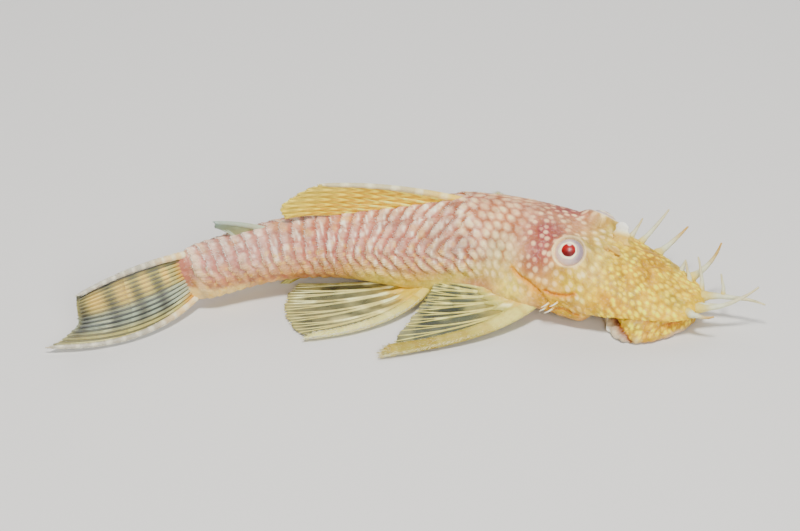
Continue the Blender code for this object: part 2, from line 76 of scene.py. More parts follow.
TAIL_LEAN = ((0, 0.0), (55, 0.0), (78.8, 0.14), (112, 0.14))
HEAD_ROLL = ((0, 0.05), (24, 0.05), (40, 0.0))
TAIL_ROLL = ((0, 0.0), (55, 0.0), (78.8, 0.17), (112, 0.17))
SPINE_AT = (EYE_S, 27.0, -1.6)


def smooth(table):
    """Monotone cubic through the (station, value) pairs."""
    x, y = (np.array(column, float) for column in zip(*table))
    h, d = np.diff(x), np.diff(y) / np.diff(x)
    m = np.empty(len(x))
    m[0], m[-1] = d[0], d[-1]
    for i in range(1, len(x) - 1):
        if d[i - 1] * d[i] <= 0:
            m[i] = 0
        else:
            a, b = 2 * h[i] + h[i - 1], h[i] + 2 * h[i - 1]
            m[i] = (a + b) / (a / d[i - 1] + b / d[i])

    def value(at):
        at = np.clip(np.asarray(at, float), x[0], x[-1])
        i = np.clip(np.searchsorted(x, at, side="right") - 1, 0, len(x) - 2)
        t = (at - x[i]) / h[i]
        return ((2 * t**3 - 3 * t**2 + 1) * y[i] + (t**3 - 2 * t**2 + t) * h[i] * m[i]
                + (3 * t**2 - 2 * t**3) * y[i + 1] + (t**3 - t**2) * h[i] * m[i + 1])
    return value


half_width, top, bottom, widest = smooth(HALF_WIDTH), smooth(TOP), smooth(BOTTOM), smooth(WIDEST)
upper_power, lower_power = smooth(UPPER_POWER), smooth(LOWER_POWER)
heading, tail_lean, tail_roll, head_roll = smooth(HEADING), smooth(TAIL_LEAN), smooth(TAIL_ROLL), smooth(HEAD_ROLL)
SPINE_S = np.arange(-20, 115, 0.1)
_h = np.radians(heading(SPINE_S))
_x = -np.concatenate([[0], np.cumsum(0.05 * (np.cos(_h[1:]) + np.cos(_h[:-1])))])
_y = -np.concatenate([[0], np.cumsum(0.05 * (np.sin(_h[1:]) + np.sin(_h[:-1])))])
SPINE_X = _x - np.interp(SPINE_AT[0], SPINE_S, _x) + SPINE_AT[1]
SPINE_Y = _y - np.interp(SPINE_AT[0], SPINE_S, _y) + SPINE_AT[2]


def bend(p):
    p = np.asarray(p, float)
    s, u, z = p[..., 0], p[..., 1], p[..., 2]
    z = z - head_roll(s) * u * np.clip((z - 2.5) / 8, 0, 1.2)
    u = u + tail_roll(s) * (z - 5.5)
    s = s + tail_lean(s) * (z - 5.5)
    h = np.radians(heading(s))
    return np.stack([np.interp(s, SPINE_S, SPINE_X) - u * np.sin(h),
                     np.interp(s, SPINE_S, SPINE_Y) + u * np.cos(h), z], -1)


def power(x, p):
    return np.sign(x) * np.abs(x) ** p


def body(s, angle, grow=0.0):
    s, angle = np.broadcast_arrays(np.asarray(s, float), np.asarray(angle, float))
    w, zt, zb, zw = half_width(s) + grow, top(s) + grow, bottom(s) - grow, widest(s)
    c, q = np.cos(angle), np.sin(angle)
    up = c >= 0
    n = 2 / np.where(up, upper_power(s), lower_power(s))
    u = w * power(q, n)
    z = zw + np.where(up, zt - zw, zw - zb) * power(c, n)
    rim = np.exp(-(((s - EYE_S) / 3.0) ** 2 + ((np.abs(u) - EYE_U + 0.6) / 2.2) ** 2))
    z = np.where(up, z + 0.9 * rim, z)
    return np.stack([s, u, z], -1)


low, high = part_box("eye_right")
SHIFT = np.array((low + high) / 2) - bend((EYE_S, -EYE_U, EYE_Z)) * MM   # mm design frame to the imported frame, in m


# ------------------------------------------------------------------ small helpers
def srgb(r, g, b):
    c = np.array([r, g, b], float) / 255
    return np.where(c <= 0.04045, c / 12.92, ((c + 0.055) / 1.055) ** 2.4)


def step(x, a, b):
    """0 before a, 1 after b, smooth between (a may be above b)."""
    t = np.clip((np.asarray(x, float) - a) / (b - a), 0, 1)
    return t * t * (3 - 2 * t)


DEEPEN, SATURATE = 2.00, 1.06
GAIN = np.array((1.66, 1.80, 1.64))      # a little more green, which the curve takes out of warm colours


def deepen(c):
    """Raises the colours' contrast and strength, which the render's soft tone curve lowers."""
    c = GAIN * np.clip(c, 0, 1) ** DEEPEN
    grey = (c * (0.2126, 0.7152, 0.0722)).sum(-1, keepdims=True)
    return np.clip(grey + (c - grey) * SATURATE, 0.005, 1)


def blob(s, v, at, size):
    return np.exp(-((s - at[0]) / size[0]) ** 2 - ((v - at[1]) / size[1]) ** 2)


def mix(a, b, f):
    return a + (np.asarray(b) - a) * np.asarray(f)[..., None]


def unit(v):
    return v / np.maximum(np.linalg.norm(v, axis=-1, keepdims=True), 1e-12)


def hashed(i, j, k):
    """Repeatable numbers from 0 to 1 for whole-number cells."""
    n = (i.astype(np.int64) * 73856093) ^ (j.astype(np.int64) * 19349663) ^ (k * 83492791)
    n = (n ^ (n >> 13)) * 1274126177
    n = n ^ (n >> 16)
    return (n & 0xFFFF) / 65535.0


def cells(x, y, cell, jitter=0.32, key=1):
    """Distance to the nearest point of a jittered, staggered lattice, in cells, and that point's random number."""
    gx, gy = x / cell, y / (cell * 0.88)
    j0 = np.floor(gy)
    best, number = np.full(x.shape, 9.0), np.zeros(x.shape)
    for dj in (-1, 0, 1):
        j = j0 + dj
        i0 = np.floor(gx - 0.5 * (j % 2))
        for di in (-1, 0, 1, 2):
            i = i0 + di
            px = i + 0.5 * (j % 2) + 0.5 + jitter * (hashed(i, j, key) - 0.5) * 2
            py = j + 0.5 + jitter * (hashed(i, j, key + 7) - 0.5) * 2
            d = np.hypot(gx - px, (gy - py) * 0.88)
            near = d < best
            best = np.where(near, d, best)
            number = np.where(near, hashed(i, j, key + 13), number)
    return best, number


def waves(x, y, cell, key=3):
    """Smooth random values from -1 to 1."""
    gx, gy = x / cell, y / cell
    i, j = np.floor(gx), np.floor(gy)
    a, b = gx - i, gy - j
    a, b = a * a * (3 - 2 * a), b * b * (3 - 2 * b)
    r = lambda p, q: hashed(i + p, j + q, key) * 2 - 1
    return (r(0, 0) * (1 - a) + r(1, 0) * a) * (1 - b) + (r(0, 1) * (1 - a) + r(1, 1) * a) * b


def to_path(s, v, points):
    """Distance from each (s, v) to a bent line of points, and the share along it."""
    points = np.asarray(points, float)
    lengths = np.concatenate([[0], np.cumsum(np.linalg.norm(np.diff(points, axis=0), axis=1))])
    best, share = np.full(np.shape(s), 1e9), np.zeros(np.shape(s))
    for k in range(len(points) - 1):
        d = points[k + 1] - points[k]
        t = np.clip(((s - points[k][0]) * d[0] + (v - points[k][1]) * d[1]) / (d @ d), 0, 1)
        far = np.hypot(s - points[k][0] - t * d[0], v - points[k][1] - t * d[1])
        near = far < best
        best = np.where(near, far, best)
        share = np.where(near, (lengths[k] + t * np.linalg.norm(d)) / lengths[-1], share)
    return best, share


class Shape:
    """Points, faces and point values of one object, gathered piece by piece."""

    def __init__(self):
        self.points, self.quads, self.tris, self.values, self.uvs, self.count = [], [], [], [], [], 0

    def add(self, points, quads=(), tris=(), uv=None, **values):
        points = np.asarray(points, float).reshape(-1, 3)
        if len(quads):
            self.quads.append(np.asarray(quads, np.int64).reshape(-1, 4) + self.count)
        if len(tris):
            self.tris.append(np.asarray(tris, np.int64).reshape(-1, 3) + self.count)
        filled = {}
        for key, value in values.items():
            value = np.asarray(value, float)
            if key == "tint":
                filled[key] = np.broadcast_to(value, (len(points), 3)) if value.ndim < 2 else value.reshape(-1, 3)
            else:
                filled[key] = np.broadcast_to(value, (len(points),)) if value.ndim < 1 else value.reshape(-1)
        self.values.append((len(points), filled))
        self.points.append(points)
        self.uvs.append(np.zeros((len(points), 2)) if uv is None else np.broadcast_to(uv, (len(points), 2)))
        self.count += len(points)

    def build(self, name, uv=False, tidy=True):
        co = np.concatenate(self.points) * MM + SHIFT
        loops, starts, at = [], [], 0
        for group, size in ((self.quads, 4), (self.tris, 3)):
            if group:
                g = np.concatenate(group)
                loops.append(g.reshape(-1))
                starts.append(at + size * np.arange(len(g)))
                at += size * len(g)
        loops, starts = np.concatenate(loops), np.concatenate(starts)
        mesh = bpy.data.meshes.new(name)
        mesh.vertices.add(len(co))
        mesh.vertices.foreach_set("co", co.astype(np.float32).reshape(-1))
        mesh.loops.add(len(loops))
        mesh.loops.foreach_set("vertex_index", loops.astype(np.int32))
        mesh.polygons.add(len(starts))
        mesh.polygons.foreach_set("loop_start", starts.astype(np.int32))
        mesh.update(calc_edges=True)
        keys = sorted({k for _, f in self.values for k in f})
        for key in keys:
            if key == "tint":
                data = np.concatenate([f.get(key, np.tile((0.6, 0.5, 0.4), (n, 1))) for n, f in self.values])
                layer = mesh.color_attributes.new("tint", "FLOAT_COLOR", "POINT")
                layer.data.foreach_set("color", np.concatenate([deepen(data), np.ones((len(data), 1))], 1).astype(np.float32).reshape(-1))
            else:
                data = np.concatenate([f.get(key, np.zeros(n)) for n, f in self.values])
                layer = mesh.attributes.new(key, "FLOAT", "POINT")
                layer.data.foreach_set("value", data.astype(np.float32))
        if uv:
            flat = np.concatenate(self.uvs)[loops]
            mesh.uv_layers.new(name="OFBake").data.foreach_set("uv", flat.astype(np.float32).reshape(-1))
        mesh.validate()
        if tidy:
            bm = bmesh.new()
            bm.from_mesh(mesh)
            bmesh.ops.recalc_face_normals(bm, faces=bm.faces)
            bm.to_mesh(mesh)
            bm.free()
        mesh.shade_smooth()
        obj = bpy.data.objects.new(name, mesh)
        bpy.context.scene.collection.objects.link(obj)
        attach(obj, "root")
        return obj


def grid_faces(rows, columns, wrap=False, offset=0):
    i, j = np.meshgrid(np.arange(rows - 1), np.arange(columns if wrap else columns - 1), indexing="ij")
    k = (j + 1) % columns
    return np.stack([i * columns + j, i * columns + k, (i + 1) * columns + k, (i + 1) * columns + j], -1).reshape(-1, 4) + offset


def tube(path, wide, thick, normals, sides=8, round_tip=True):
    """Points and faces of a closed tapering tube with an oval section; normals point across its thin way."""
    path = np.asarray(path, float)
    n = len(path)
    wide, thick = np.broadcast_to(wide, n).astype(float), np.broadcast_to(thick, n).astype(float)
    along = unit(np.gradient(path, axis=0))
    across = unit(np.cross(along, normals))
    up = unit(np.cross(across, along))
    a = 2 * math.pi * np.arange(sides) / sides
    rings = (path[:, None] + wide[:, None, None] * np.cos(a)[None, :, None] * across[:, None]
             + thick[:, None, None] * np.sin(a)[None, :, None] * up[:, None])
    points = rings.reshape(-1, 3)
    tip = path[-1] + along[-1] * (thick[-1] * 0.8 if round_tip else 0)
    points = np.concatenate([points, [path[0] - along[0] * 0.05, tip]])
    quads = grid_faces(n, sides, wrap=True)
    first, last = n * sides, n * sides + 1
    k = np.arange(sides)
    tris = np.concatenate([np.stack([(k + 1) % sides, k, np.full(sides, first)], -1),
                           np.stack([(n - 1) * sides + k, (n - 1) * sides + (k + 1) % sides, np.full(sides, last)], -1)])
    return points, quads, tris


def along_tube(values, sides):
    """Values per path point spread over a tube's points."""
    values = np.asarray(values, float)
    return np.concatenate([np.repeat(values, sides, 0), values[:1], values[-1:]])


def resample(path, count):
    """A smooth curve through the points, with count points."""
    path = np.asarray(path, float)
    d = np.concatenate([[0], np.cumsum(np.linalg.norm(np.diff(path, axis=0), axis=1))])
    t = np.linspace(0, d[-1], count)
    m = np.gradient(path, d, axis=0)
    i = np.clip(np.searchsorted(d, t, side="right") - 1, 0, len(d) - 2)
    h = (d[i + 1] - d[i])[:, None]
    q = ((t - d[i]) / (d[i + 1] - d[i]))[:, None]
    return ((2 * q**3 - 3 * q**2 + 1) * path[i] + (q**3 - 2 * q**2 + q) * h * m[i]
            + (3 * q**2 - 2 * q**3) * path[i + 1] + (q**3 - q**2) * h * m[i + 1])


# ------------------------------------------------------------------ materials
def material(name):
    m = bpy.data.materials.new(name)
    m.use_nodes = True
    return m, m.node_tree.nodes, m.node_tree.links, m.node_tree.nodes["Principled BSDF"]


def node(nodes, kind, **inputs):
    n = nodes.new(kind)
    for key, value in inputs.items():
        n.inputs[key.replace("_", " ")].default_value = value
    return n


def attribute(nodes, name):
    n = nodes.new("ShaderNodeAttribute")
    n.attribute_name = name
    return n


def math_node(nodes, links, operation, a, b=None, c=None):
    n = nodes.new("ShaderNodeMath")
    n.operation = operation
    for k, x in enumerate((a, b, c)):
        if x is None:
            continue
        if isinstance(x, (int, float)):
            n.inputs[k].default_value = x
        else:
            links.new(x, n.inputs[k])
    return n.outputs[0]


def colour_mix(nodes, links, factor, a, b, blend="MIX"):
    n = nodes.new("ShaderNodeMix")
    n.data_type = "RGBA"
    n.blend_type = blend
    for k, x in ((0, factor), (6, a), (7, b)):
        if isinstance(x, (int, float)):
            n.inputs[k].default_value = x
        elif isinstance(x, tuple):
            n.inputs[k].default_value = x
        else:
            links.new(x, n.inputs[k])
    return n.outputs[2]


def noise(nodes, links, scale, detail=3.0, rough=0.55, stretch=None, source="Object"):
    co = nodes.new("ShaderNodeTexCoord").outputs[source]
    if stretch is not None:
        mapping = nodes.new("ShaderNodeMapping")
        mapping.inputs["Scale"].default_value = stretch
        links.new(co, mapping.inputs["Vector"])
        co = mapping.outputs[0]
    n = node(nodes, "ShaderNodeTexNoise", Scale=scale, Detail=detail, Roughness=rough)
    links.new(co, n.inputs["Vector"])
    return n.outputs[0]


def ranged(nodes, links, value, a, b, c=0.0, d=1.0):
    n = nodes.new("ShaderNodeMapRange")
    n.interpolation_type = "SMOOTHSTEP"
    for key, x in zip(("From Min", "From Max", "To Min", "To Max"), (a, b, c, d)):
        n.inputs[key].default_value = x
    links.new(value, n.inputs["Value"])
    return n.outputs[0]


def bump(nodes, links, height, strength, distance, normal=None):
    n = node(nodes, "ShaderNodeBump", Strength=strength, Distance=distance)
    links.new(height, n.inputs["Height"])
    if normal is not None:
        links.new(normal, n.inputs["Normal"])
    return n.outputs[0]


def skin_material():
    m, nodes, links, shader = material("pleco_skin")
    tint = attribute(nodes, "tint").outputs["Color"]
    plate = attribute(nodes, "plate").outputs["Fac"]
    lines = attribute(nodes, "lines").outputs["Fac"]
    across = attribute(nodes, "across").outputs["Fac"]
    blotch = noise(nodes, links, 420, 3, 0.6)
    fine = noise(nodes, links, 2600, 4, 0.65)
    wide = noise(nodes, links, 130, 2, 0.5)
    c = colour_mix(nodes, links, ranged(nodes, links, blotch, 0.42, 0.72, 0.0, 0.30), tint, (0.80, 0.62, 0.44, 1), "MULTIPLY")
    c = colour_mix(nodes, links, ranged(nodes, links, wide, 0.45, 0.75, 0.0, 0.22), c, (0.98, 0.88, 0.78, 1), "MULTIPLY")
    c = colour_mix(nodes, links, ranged(nodes, links, fine, 0.5, 0.72, 0.0, 0.16), c, (1.0, 0.92, 0.80, 1), "SCREEN")
    c = colour_mix(nodes, links, ranged(nodes, links, fine, 0.48, 0.28, 0.0, 0.40), c, (0.84, 0.70, 0.62, 1), "MULTIPLY")
    stripe = math_node(nodes, links, "SINE", math_node(nodes, links, "MULTIPLY", across, 2 * math.pi / 0.36))
    stripe = math_node(nodes, links, "MULTIPLY", stripe, lines)
    c = colour_mix(nodes, links, ranged(nodes, links, stripe, 0.1, 0.8, 0.0, 0.72), c, (0.80, 0.64, 0.58, 1), "MULTIPLY")
    links.new(c, shader.inputs["Base Color"])
    grain = node(nodes, "ShaderNodeTexVoronoi", Scale=3000, Randomness=0.9)
    links.new(nodes.new("ShaderNodeTexCoord").outputs["Object"], grain.inputs["Vector"])
    grit = math_node(nodes, links, "SUBTRACT", 1.0, grain.outputs["Distance"])
    n = bump(nodes, links, stripe, 0.55, 0.00004)
    n = bump(nodes, links, grit, 0.45, 0.00007, n)
    n = bump(nodes, links, fine, 0.45, 0.00010, n)
    links.new(n, shader.inputs["Normal"])
    rough = math_node(nodes, links, "ADD", ranged(nodes, links, blotch, 0.3, 0.7, 0.40, 0.56),
                      math_node(nodes, links, "MULTIPLY", plate, -0.06))
    links.new(rough, shader.inputs["Roughness"])
    shader.inputs["Specular IOR Level"].default_value = 0.20
    shader.inputs["Coat Weight"].default_value = 0.04
    shader.inputs["Coat Roughness"].default_value = 0.22
    shader.inputs["Subsurface Weight"].default_value = 0.08
    shader.inputs["Subsurface Radius"].default_value = (1.0, 0.70, 0.50)
    shader.inputs["Subsurface Scale"].default_value = 0.0006
    return m


def bony_material(name, rough=0.42):
    """Spines, rays and hooks: striped along their length, tinted point by point."""
    m, nodes, links, shader = material(name)
    tint = attribute(nodes, "tint").outputs["Color"]
    fine = noise(nodes, links, 1500, 4, 0.6)
    c = colour_mix(nodes, links, ranged(nodes, links, fine, 0.40, 0.72, 0.0, 0.42), tint, (0.80, 0.62, 0.44, 1), "MULTIPLY")
    links.new(c, shader.inputs["Base Color"])
    links.new(bump(nodes, links, noise(nodes, links, 3200, 3, 0.6), 0.5, 0.00005), shader.inputs["Normal"])
    links.new(ranged(nodes, links, fine, 0.3, 0.7, rough - 0.08, rough + 0.1), shader.inputs["Roughness"])
    shader.inputs["Subsurface Weight"].default_value = 0.15
    shader.inputs["Subsurface Radius"].default_value = (1.0, 0.6, 0.35)
    shader.inputs["Subsurface Scale"].default_value = 0.0006
    shader.inputs["Specular IOR Level"].default_value = 0.28
    shader.inputs["Coat Weight"].default_value = 0.04
    shader.inputs["Coat Roughness"].default_value = 0.25
    return m


def web_material(name, alpha):
    """Fin membrane: thin, smoky and wet, with faint wrinkles."""
    m, nodes, links, shader = material(name)
    tint = attribute(nodes, "tint").outputs["Color"]
    cloud = noise(nodes, links, 700, 4, 0.6)
    c = colour_mix(nodes, links, ranged(nodes, links, cloud, 0.38, 0.70, 0.0, 0.5), tint, (0.62, 0.58, 0.50, 1), "MULTIPLY")
    links.new(c, shader.inputs["Base Color"])
    links.new(bump(nodes, links, noise(nodes, links, 1800, 3, 0.55), 0.5, 0.00006), shader.inputs["Normal"])
    links.new(ranged(nodes, links, cloud, 0.3, 0.7, 0.38, 0.54), shader.inputs["Roughness"])
    shader.inputs["Alpha"].default_value = alpha
    shader.inputs["Specular IOR Level"].default_value = 0.30
    shader.inputs["Coat Weight"].default_value = 0.05
    shader.inputs["Coat Roughness"].default_value = 0.20
    return m


def eye_material():
    m, nodes, links, shader = material("pleco_eye")
    tint = attribute(nodes, "tint").outputs["Color"]
    fibres = noise(nodes, links, 2600, 3, 0.6)
    c = colour_mix(nodes, links, ranged(nodes, links, fibres, 0.38, 0.7, 0.0, 0.30), tint, (0.70, 0.55, 0.55, 1), "MULTIPLY")
    links.new(c, shader.inputs["Base Color"])
    links.new(ranged(nodes, links, fibres, 0.3, 0.7, 0.26, 0.36), shader.inputs["Roughness"])
    links.new(bump(nodes, links, fibres, 0.12, 0.00003), shader.inputs["Normal"])
    shader.inputs["Coat Weight"].default_value = 0.06
    shader.inputs["Specular IOR Level"].default_value = 0.22
    shader.inputs["Coat Roughness"].default_value = 0.10
    shader.inputs["Subsurface Weight"].default_value = 0.1
    shader.inputs["Subsurface Radius"].default_value = (1.0, 0.35, 0.3)
    shader.inputs["Subsurface Scale"].default_value = 0.0005
    return m


SKIN, BRISTLE = skin_material(), bony_material("bristle")
RAY = bony_material("fin_ray", 0.38)
WEB, GOLD_WEB = web_material("fin_web", 0.66), web_material("dorsal_web", 0.94)
EYE = eye_material()

# ------------------------------------------------------------------ the skin's grid and its own coordinates
BODY_END = 81.6
stations = np.concatenate([[0.03, 0.08, 0.15, 0.25, 0.36, 0.48, 0.62, 0.78, 0.94, 1.10], np.arange(1.26, 31, 0.16),
                           np.arange(31.1, BODY_END + 0.05, 0.2)])
angles = np.radians(np.concatenate([np.linspace(-104, 104, 261), np.linspace(104, 256, 47)[1:-1]]))
SG, AG = np.meshgrid(stations, angles, indexing="ij")
straight = body(SG, AG)
# past the base of the tail fin the flesh thins to a wedge
wedge = step(SG, 76.5, BODY_END)
straight[..., 1] *= 1 - 0.90 * wedge
straight[..., 2] += (5.4 - straight[..., 2]) * 0.22 * wedge**2

# arc: distance over the skin from the back's midline, for each station and side
half_turn = np.radians(np.arange(0, 180.5, 0.5))
_p = body(stations[:, None], half_turn[None, :])
ARC = np.concatenate([np.zeros((len(stations), 1)), np.cumsum(np.linalg.norm(np.diff(_p[..., 1:], axis=1), axis=2), 1)], 1)
wrapped = (AG + math.pi) % (2 * math.pi) - math.pi
V = np.stack([np.interp(np.abs(wrapped[i]), half_turn, ARC[i]) for i in range(len(stations))])   # 0 at the back
FLANK = ARC[:, int(2 * 100)][:, None]          # arc down to 100 degrees, the belly's edge
SIDE = np.where(np.sin(wrapped) >= 0, 1.0, -1.0)
SV = V * SIDE

base = bend(straight)
_da = np.roll(base, -1, 1) - np.roll(base, 1, 1)
_ds = np.gradient(base, stations, axis=0)
normal = unit(np.cross(_ds, _da))
_out = (normal * (base - base.mean(1, keepdims=True))).sum(-1)
normal *= np.sign(np.median(_out))

# ------------------------------------------------------------------ bony plates of the flank
PLATE_FROM = 35.0
pitch = smooth(((30, 2.35), (44, 2.15), (60, 1.88), (72, 1.76), (83, 1.6)))
_s = np.arange(20, 90, 0.05)
PLATES_AT = np.concatenate([[0], np.cumsum(0.05 / pitch(_s[:-1]))])
SLANT = smooth(((30, 0.65), (42, 0.80), (52, 0.55), (62, 0.22), (80, 0.14)))   # how far a plate leans back per mm down
ROWS = (0.0, 0.235, 0.455, 0.665, 0.845, 1.04, 1.6)     # row edges as shares of the flank


def plates(s, v, flank):
    """For each skin point: share along its plate (0 front, 1 rear edge), share across its row, row, plate number."""
    f = v / flank
    row = np.clip(np.searchsorted(ROWS, f, side="right") - 1, 0, 5)
    edges = np.array(ROWS)
    across = (f - edges[row]) / (edges[row + 1] - edges[row])
    turn = (0.60 + 0.10 * step(s, 44, 56)) * flank
    back = SLANT(s) * np.minimum(v, turn) - (0.35 + SLANT(s)) * np.maximum(v - turn, 0)
    stagger = 0.30 * step(s, 60, 44) * (row % 2) + 0.10 * waves(s, v, 2.6, 5) + 0.05 * row
    place = np.interp(s - back, _s, PLATES_AT) + stagger
    # each plate's rear edge bulges back in the middle of its row
    place = place + 0.22 * (across - 0.5) ** 2 * 2 + 0.07 * waves(s, v, 1.1, 25) + 0.05 * waves(s, v, 0.5, 27)
    return place - np.floor(place), across, row, np.floor(place)


along, across, row, number = plates(SG, V, FLANK)
plated = step(SG + 0.25 * V, PLATE_FROM - 1.0, PLATE_FROM + 4.5) * step(BODY_END - SG, 1.6, 2.6)
naked = step(V / FLANK, 0.76, 0.84) * step(SG, 47, 40) + step(V / FLANK, 0.9, 0.97) * step(SG, 58, 50) \
    + step(V / FLANK, 1.08, 1.16) * step(SG, 60, 54)
plated = plated * np.clip(1 - naked, 0, 1)
between = np.minimum(across, 1 - across)          # 0 on the line between two rows
bow = 1 - (2 * across - 1) ** 2                   # 1 along the middle of a row
face = step(along, 0.36 - 0.20 * bow, 0.62 - 0.16 * bow) * step(along, 1.0, 0.86) * (0.62 + 0.38 * step(between, 0.0, 0.16))
face = face * (0.80 + 0.25 * waves(SG, SV, 0.75, 61))
lift = (0.05 + 0.24 * step(along, 0.05, 0.8)) * step(along, 1.0, 0.91) * (0.66 + 0.34 * step(between, 0.0, 0.25)) \
    + 0.05 * (1 - (2 * across - 1) ** 2) + 0.035 * waves(SG * 1.4, SV, 0.7, 63)
lift = lift * (1 - 0.35 * step(SG, 46, 64))
_r = hashed(number, row + 0.0 * number, 21)

# ------------------------------------------------------------------ raised spots of the head and nape; on the nape the pale spots are partly painted highlights on the plates' centres
d1, r1 = cells(SG * 1.08, SV, 1.06, 0.36, 2)
d2, r2 = cells(SG, SV, 1.40, 0.30, 4)
d3, r3 = cells(SG + 0.45 * V, SV, 1.72, 0.20, 6)
spot1 = step(d1 / (0.72 + 0.5 * r1), 0.40, 0.17) * step(r1, 0.05, 0.3)
spot2 = step(d2 / (0.86 + 0.3 * r2), 0.36, 0.17) * step(r2, 0.03, 0.25)
# nape spots: partly the skin's pale spots, partly painted highlights on the centres of the nape's plates
spot3 = step(d3, 0.42, 0.20) * (0.75 + 0.25 * r3)
on_snout = step(SG, 15.0, 12.0) * step(SG, 0.6, 2.0)
on_head = step(SG, 12.0, 15.0) * step(SG, 29, 25)
on_nape = step(SG, 25, 29) * step(SG + 0.25 * V, 43, 37)
upper = step(V, 15.8, 14.0)
spots = (spot1 * on_snout + spot2 * on_head * upper + spot3 * on_nape * step(V, 14.2, 12.5))

# ------------------------------------------------------------------ folds, as (station, arc) lines on each side
GILL = ((27.0, 11.2), (25.5, 12.1), (23.0, 12.7), (21.1, 13.5), (20.2, 14.4), (19.6, 15.6), (19.4, 17.0))
SLIT = ((20.4, 13.1), (19.3, 13.3), (18.1, 13.0), (16.9, 12.3), (16.0, 11.4))
THROAT = ((19.6, 15.8), (17.5, 14.7), (15.2, 14.2))
CREASE = ((9.4, 0.0), (8.0, 1.0), (7.4, 2.4), (7.8, 4.4))
BROW = ((11.4, 3.0), (10.3, 4.6), (10.0, 6.6))
CHEEK = ((14.8, 13.6), (12.6, 10.4), (11.4, 8.9))
gill, gill_t = to_path(SG, V, GILL)
slit, slit_t = to_path(SG, V, SLIT)
throat, _ = to_path(SG, V, THROAT)
crease, crease_t = to_path(SG, V, CREASE)
brow, _ = to_path(SG, V, BROW)
cheek, _ = to_path(SG, V, CHEEK)

relief = plated * lift
relief += 0.07 * spots
relief -= 0.34 * np.exp(-(gill / 0.24) ** 2) * step(gill_t, 0.0, 0.12)
relief += 0.12 * np.exp(-((gill - 0.75) / 0.5) ** 2)
relief -= 0.34 * np.exp(-(slit / 0.20) ** 2) * step(slit_t, 1.0, 0.85)
relief += 0.14 * np.exp(-((slit - 0.6) / 0.4) ** 2)
relief -= 0.12 * np.exp(-(throat / 0.22) ** 2)
relief -= 0.16 * np.exp(-(crease / 0.45) ** 2) * step(crease_t, 1.0, 0.8)
relief += 0.08 * np.exp(-((crease - 1.0) / 0.5) ** 2)
relief -= 0.08 * np.exp(-(brow / 0.45) ** 2)
relief -= 0.06 * np.exp(-(cheek / 0.45) ** 2)
# fine pleats under the gill slit
pleats = blob(SG, V, (17.6, 14.2), (2.2, 1.4))
relief += 0.05 * np.sin(2 * math.pi * V / 0.55 + 0.6 * SG) * pleats
# soft lumps of the snout's naked skin, the keel behind the head, the shoulder bone
relief += 0.05 * waves(SG * 1.1, SV, 1.9, 9) * step(SG, 16, 10)
relief += 0.035 * waves(SG, SV, 0.7, 12) * step(SG, 20, 12)
pad, pad_t = to_path(SG, V, ((22.6, 15.0), (25.5, 15.3), (29.6, 15.6)))
relief += 0.55 * np.exp(-(pad / 1.5) ** 2) * step(SG - 0.5 * (V - 14), 20.3, 22.0)
relief -= 0.5 * np.exp(-(((SG - EYE_S) / 3.0) ** 2 + ((np.abs(straight[..., 1]) - EYE_U + 1.4) / 2.0) ** 2))
relief -= 0.26 * blob(SG, V, (18.6, 0.0), (4.2, 2.6))
relief += 0.16 * blob(SG, V, (26.5, 0.0), (4.5, 1.5))
relief += 0.03 * waves(SG, SV, 1.1, 15) * step(SG, 26, 32)
INSET = 0.14
relief *= step(SG, 0.02, 0.8)

# the nostrils: two openings each side, a flap between them (side, station, distance from the midline, length, bearing, lift)
FLAPS = ((1, 13.9, 1.8, 2.6, 100, 66), (-1, 13.7, 1.7, 0.9, -20, 60))
pit, nostril_rim = np.zeros_like(SG), np.zeros_like(SG)
for side, s0, u0, _, _, _ in FLAPS:
    away = np.abs(straight[..., 1] - side * u0)
    here = step(V, 5.5, 4.5)
    for ds_, r_ in ((-0.85, 0.40), (0.80, 0.46)):
        pit = np.maximum(pit, np.exp(-(np.hypot(SG - s0 - ds_, away) / r_) ** 4) * here)
    nostril_rim = np.maximum(nostril_rim, np.exp(-((np.hypot((SG - s0) / 1.3, away) - 0.95) / 0.26) ** 2) * here)
relief -= 0.45 * np.clip(pit, 0, 1)
relief += 0.08 * nostril_rim

skin_points = base + normal * (relief - INSET)[..., None]

# ------------------------------------------------------------------ the sockets: a raised ring round each eye
EYE_TILT, EYE_AHEAD = math.radians(50), math.radians(14)
BALL, FLAT = 2.18, 0.79       # the eye's radius across, and its depth as a share of that


def eye_frame(side):
    """Centre, axis, and the eye's up direction."""
    h = math.radians(float(heading(EYE_S)))
    ahead = np.array([math.cos(h), math.sin(h), 0])
    out = side * np.array([-math.sin(h), math.cos(h), 0])
    level = math.cos(EYE_AHEAD) * out + math.sin(EYE_AHEAD) * ahead
    axis = math.cos(EYE_TILT) * level + math.sin(EYE_TILT) * np.array([0, 0, 1.0])
    up = unit(np.array([0, 0, 1.0]) - axis[2] * axis)
    return bend((EYE_S, side * EYE_U, EYE_Z)), axis, up


ring_mask = np.zeros_like(SG)
for side in (1, -1):
    centre, axis, up = eye_frame(side)
    rel = skin_points - centre
    high_ = rel @ axis
    out_ = rel - high_[..., None] * axis
    d = np.linalg.norm(out_, axis=-1)
    near = (np.abs(SG - EYE_S) < 6) & (SIDE == side) & (V < 13) & (V > 0.5) & (high_ > -1)
    profile = np.interp(d, (0, 1.2, 1.9, 2.12, 2.24, 2.36, 2.50, 2.7, 3.2, 4.0),
                        (0.1, 0.1, 0.35, 0.62, 0.92, 1.00, 0.93, 0.78, 0.62, 0.52))
    weight = np.where(near, step(d, 3.9, 2.7), 0.0)
    skin_points = skin_points + (weight * (profile - high_))[..., None] * axis
    # the far (left) eye's ring mask is wider, for a painted highlight on its rim
    ring_mask = np.maximum(ring_mask, np.where(near, np.exp(-((d - 2.36) / (0.16 if side < 0 else 0.24)) ** 2), 0))
    ring_mask = np.where(near & (d < 2.3), 1.0, ring_mask)
skin_points[..., 2] = np.maximum(skin_points[..., 2], 0.02)

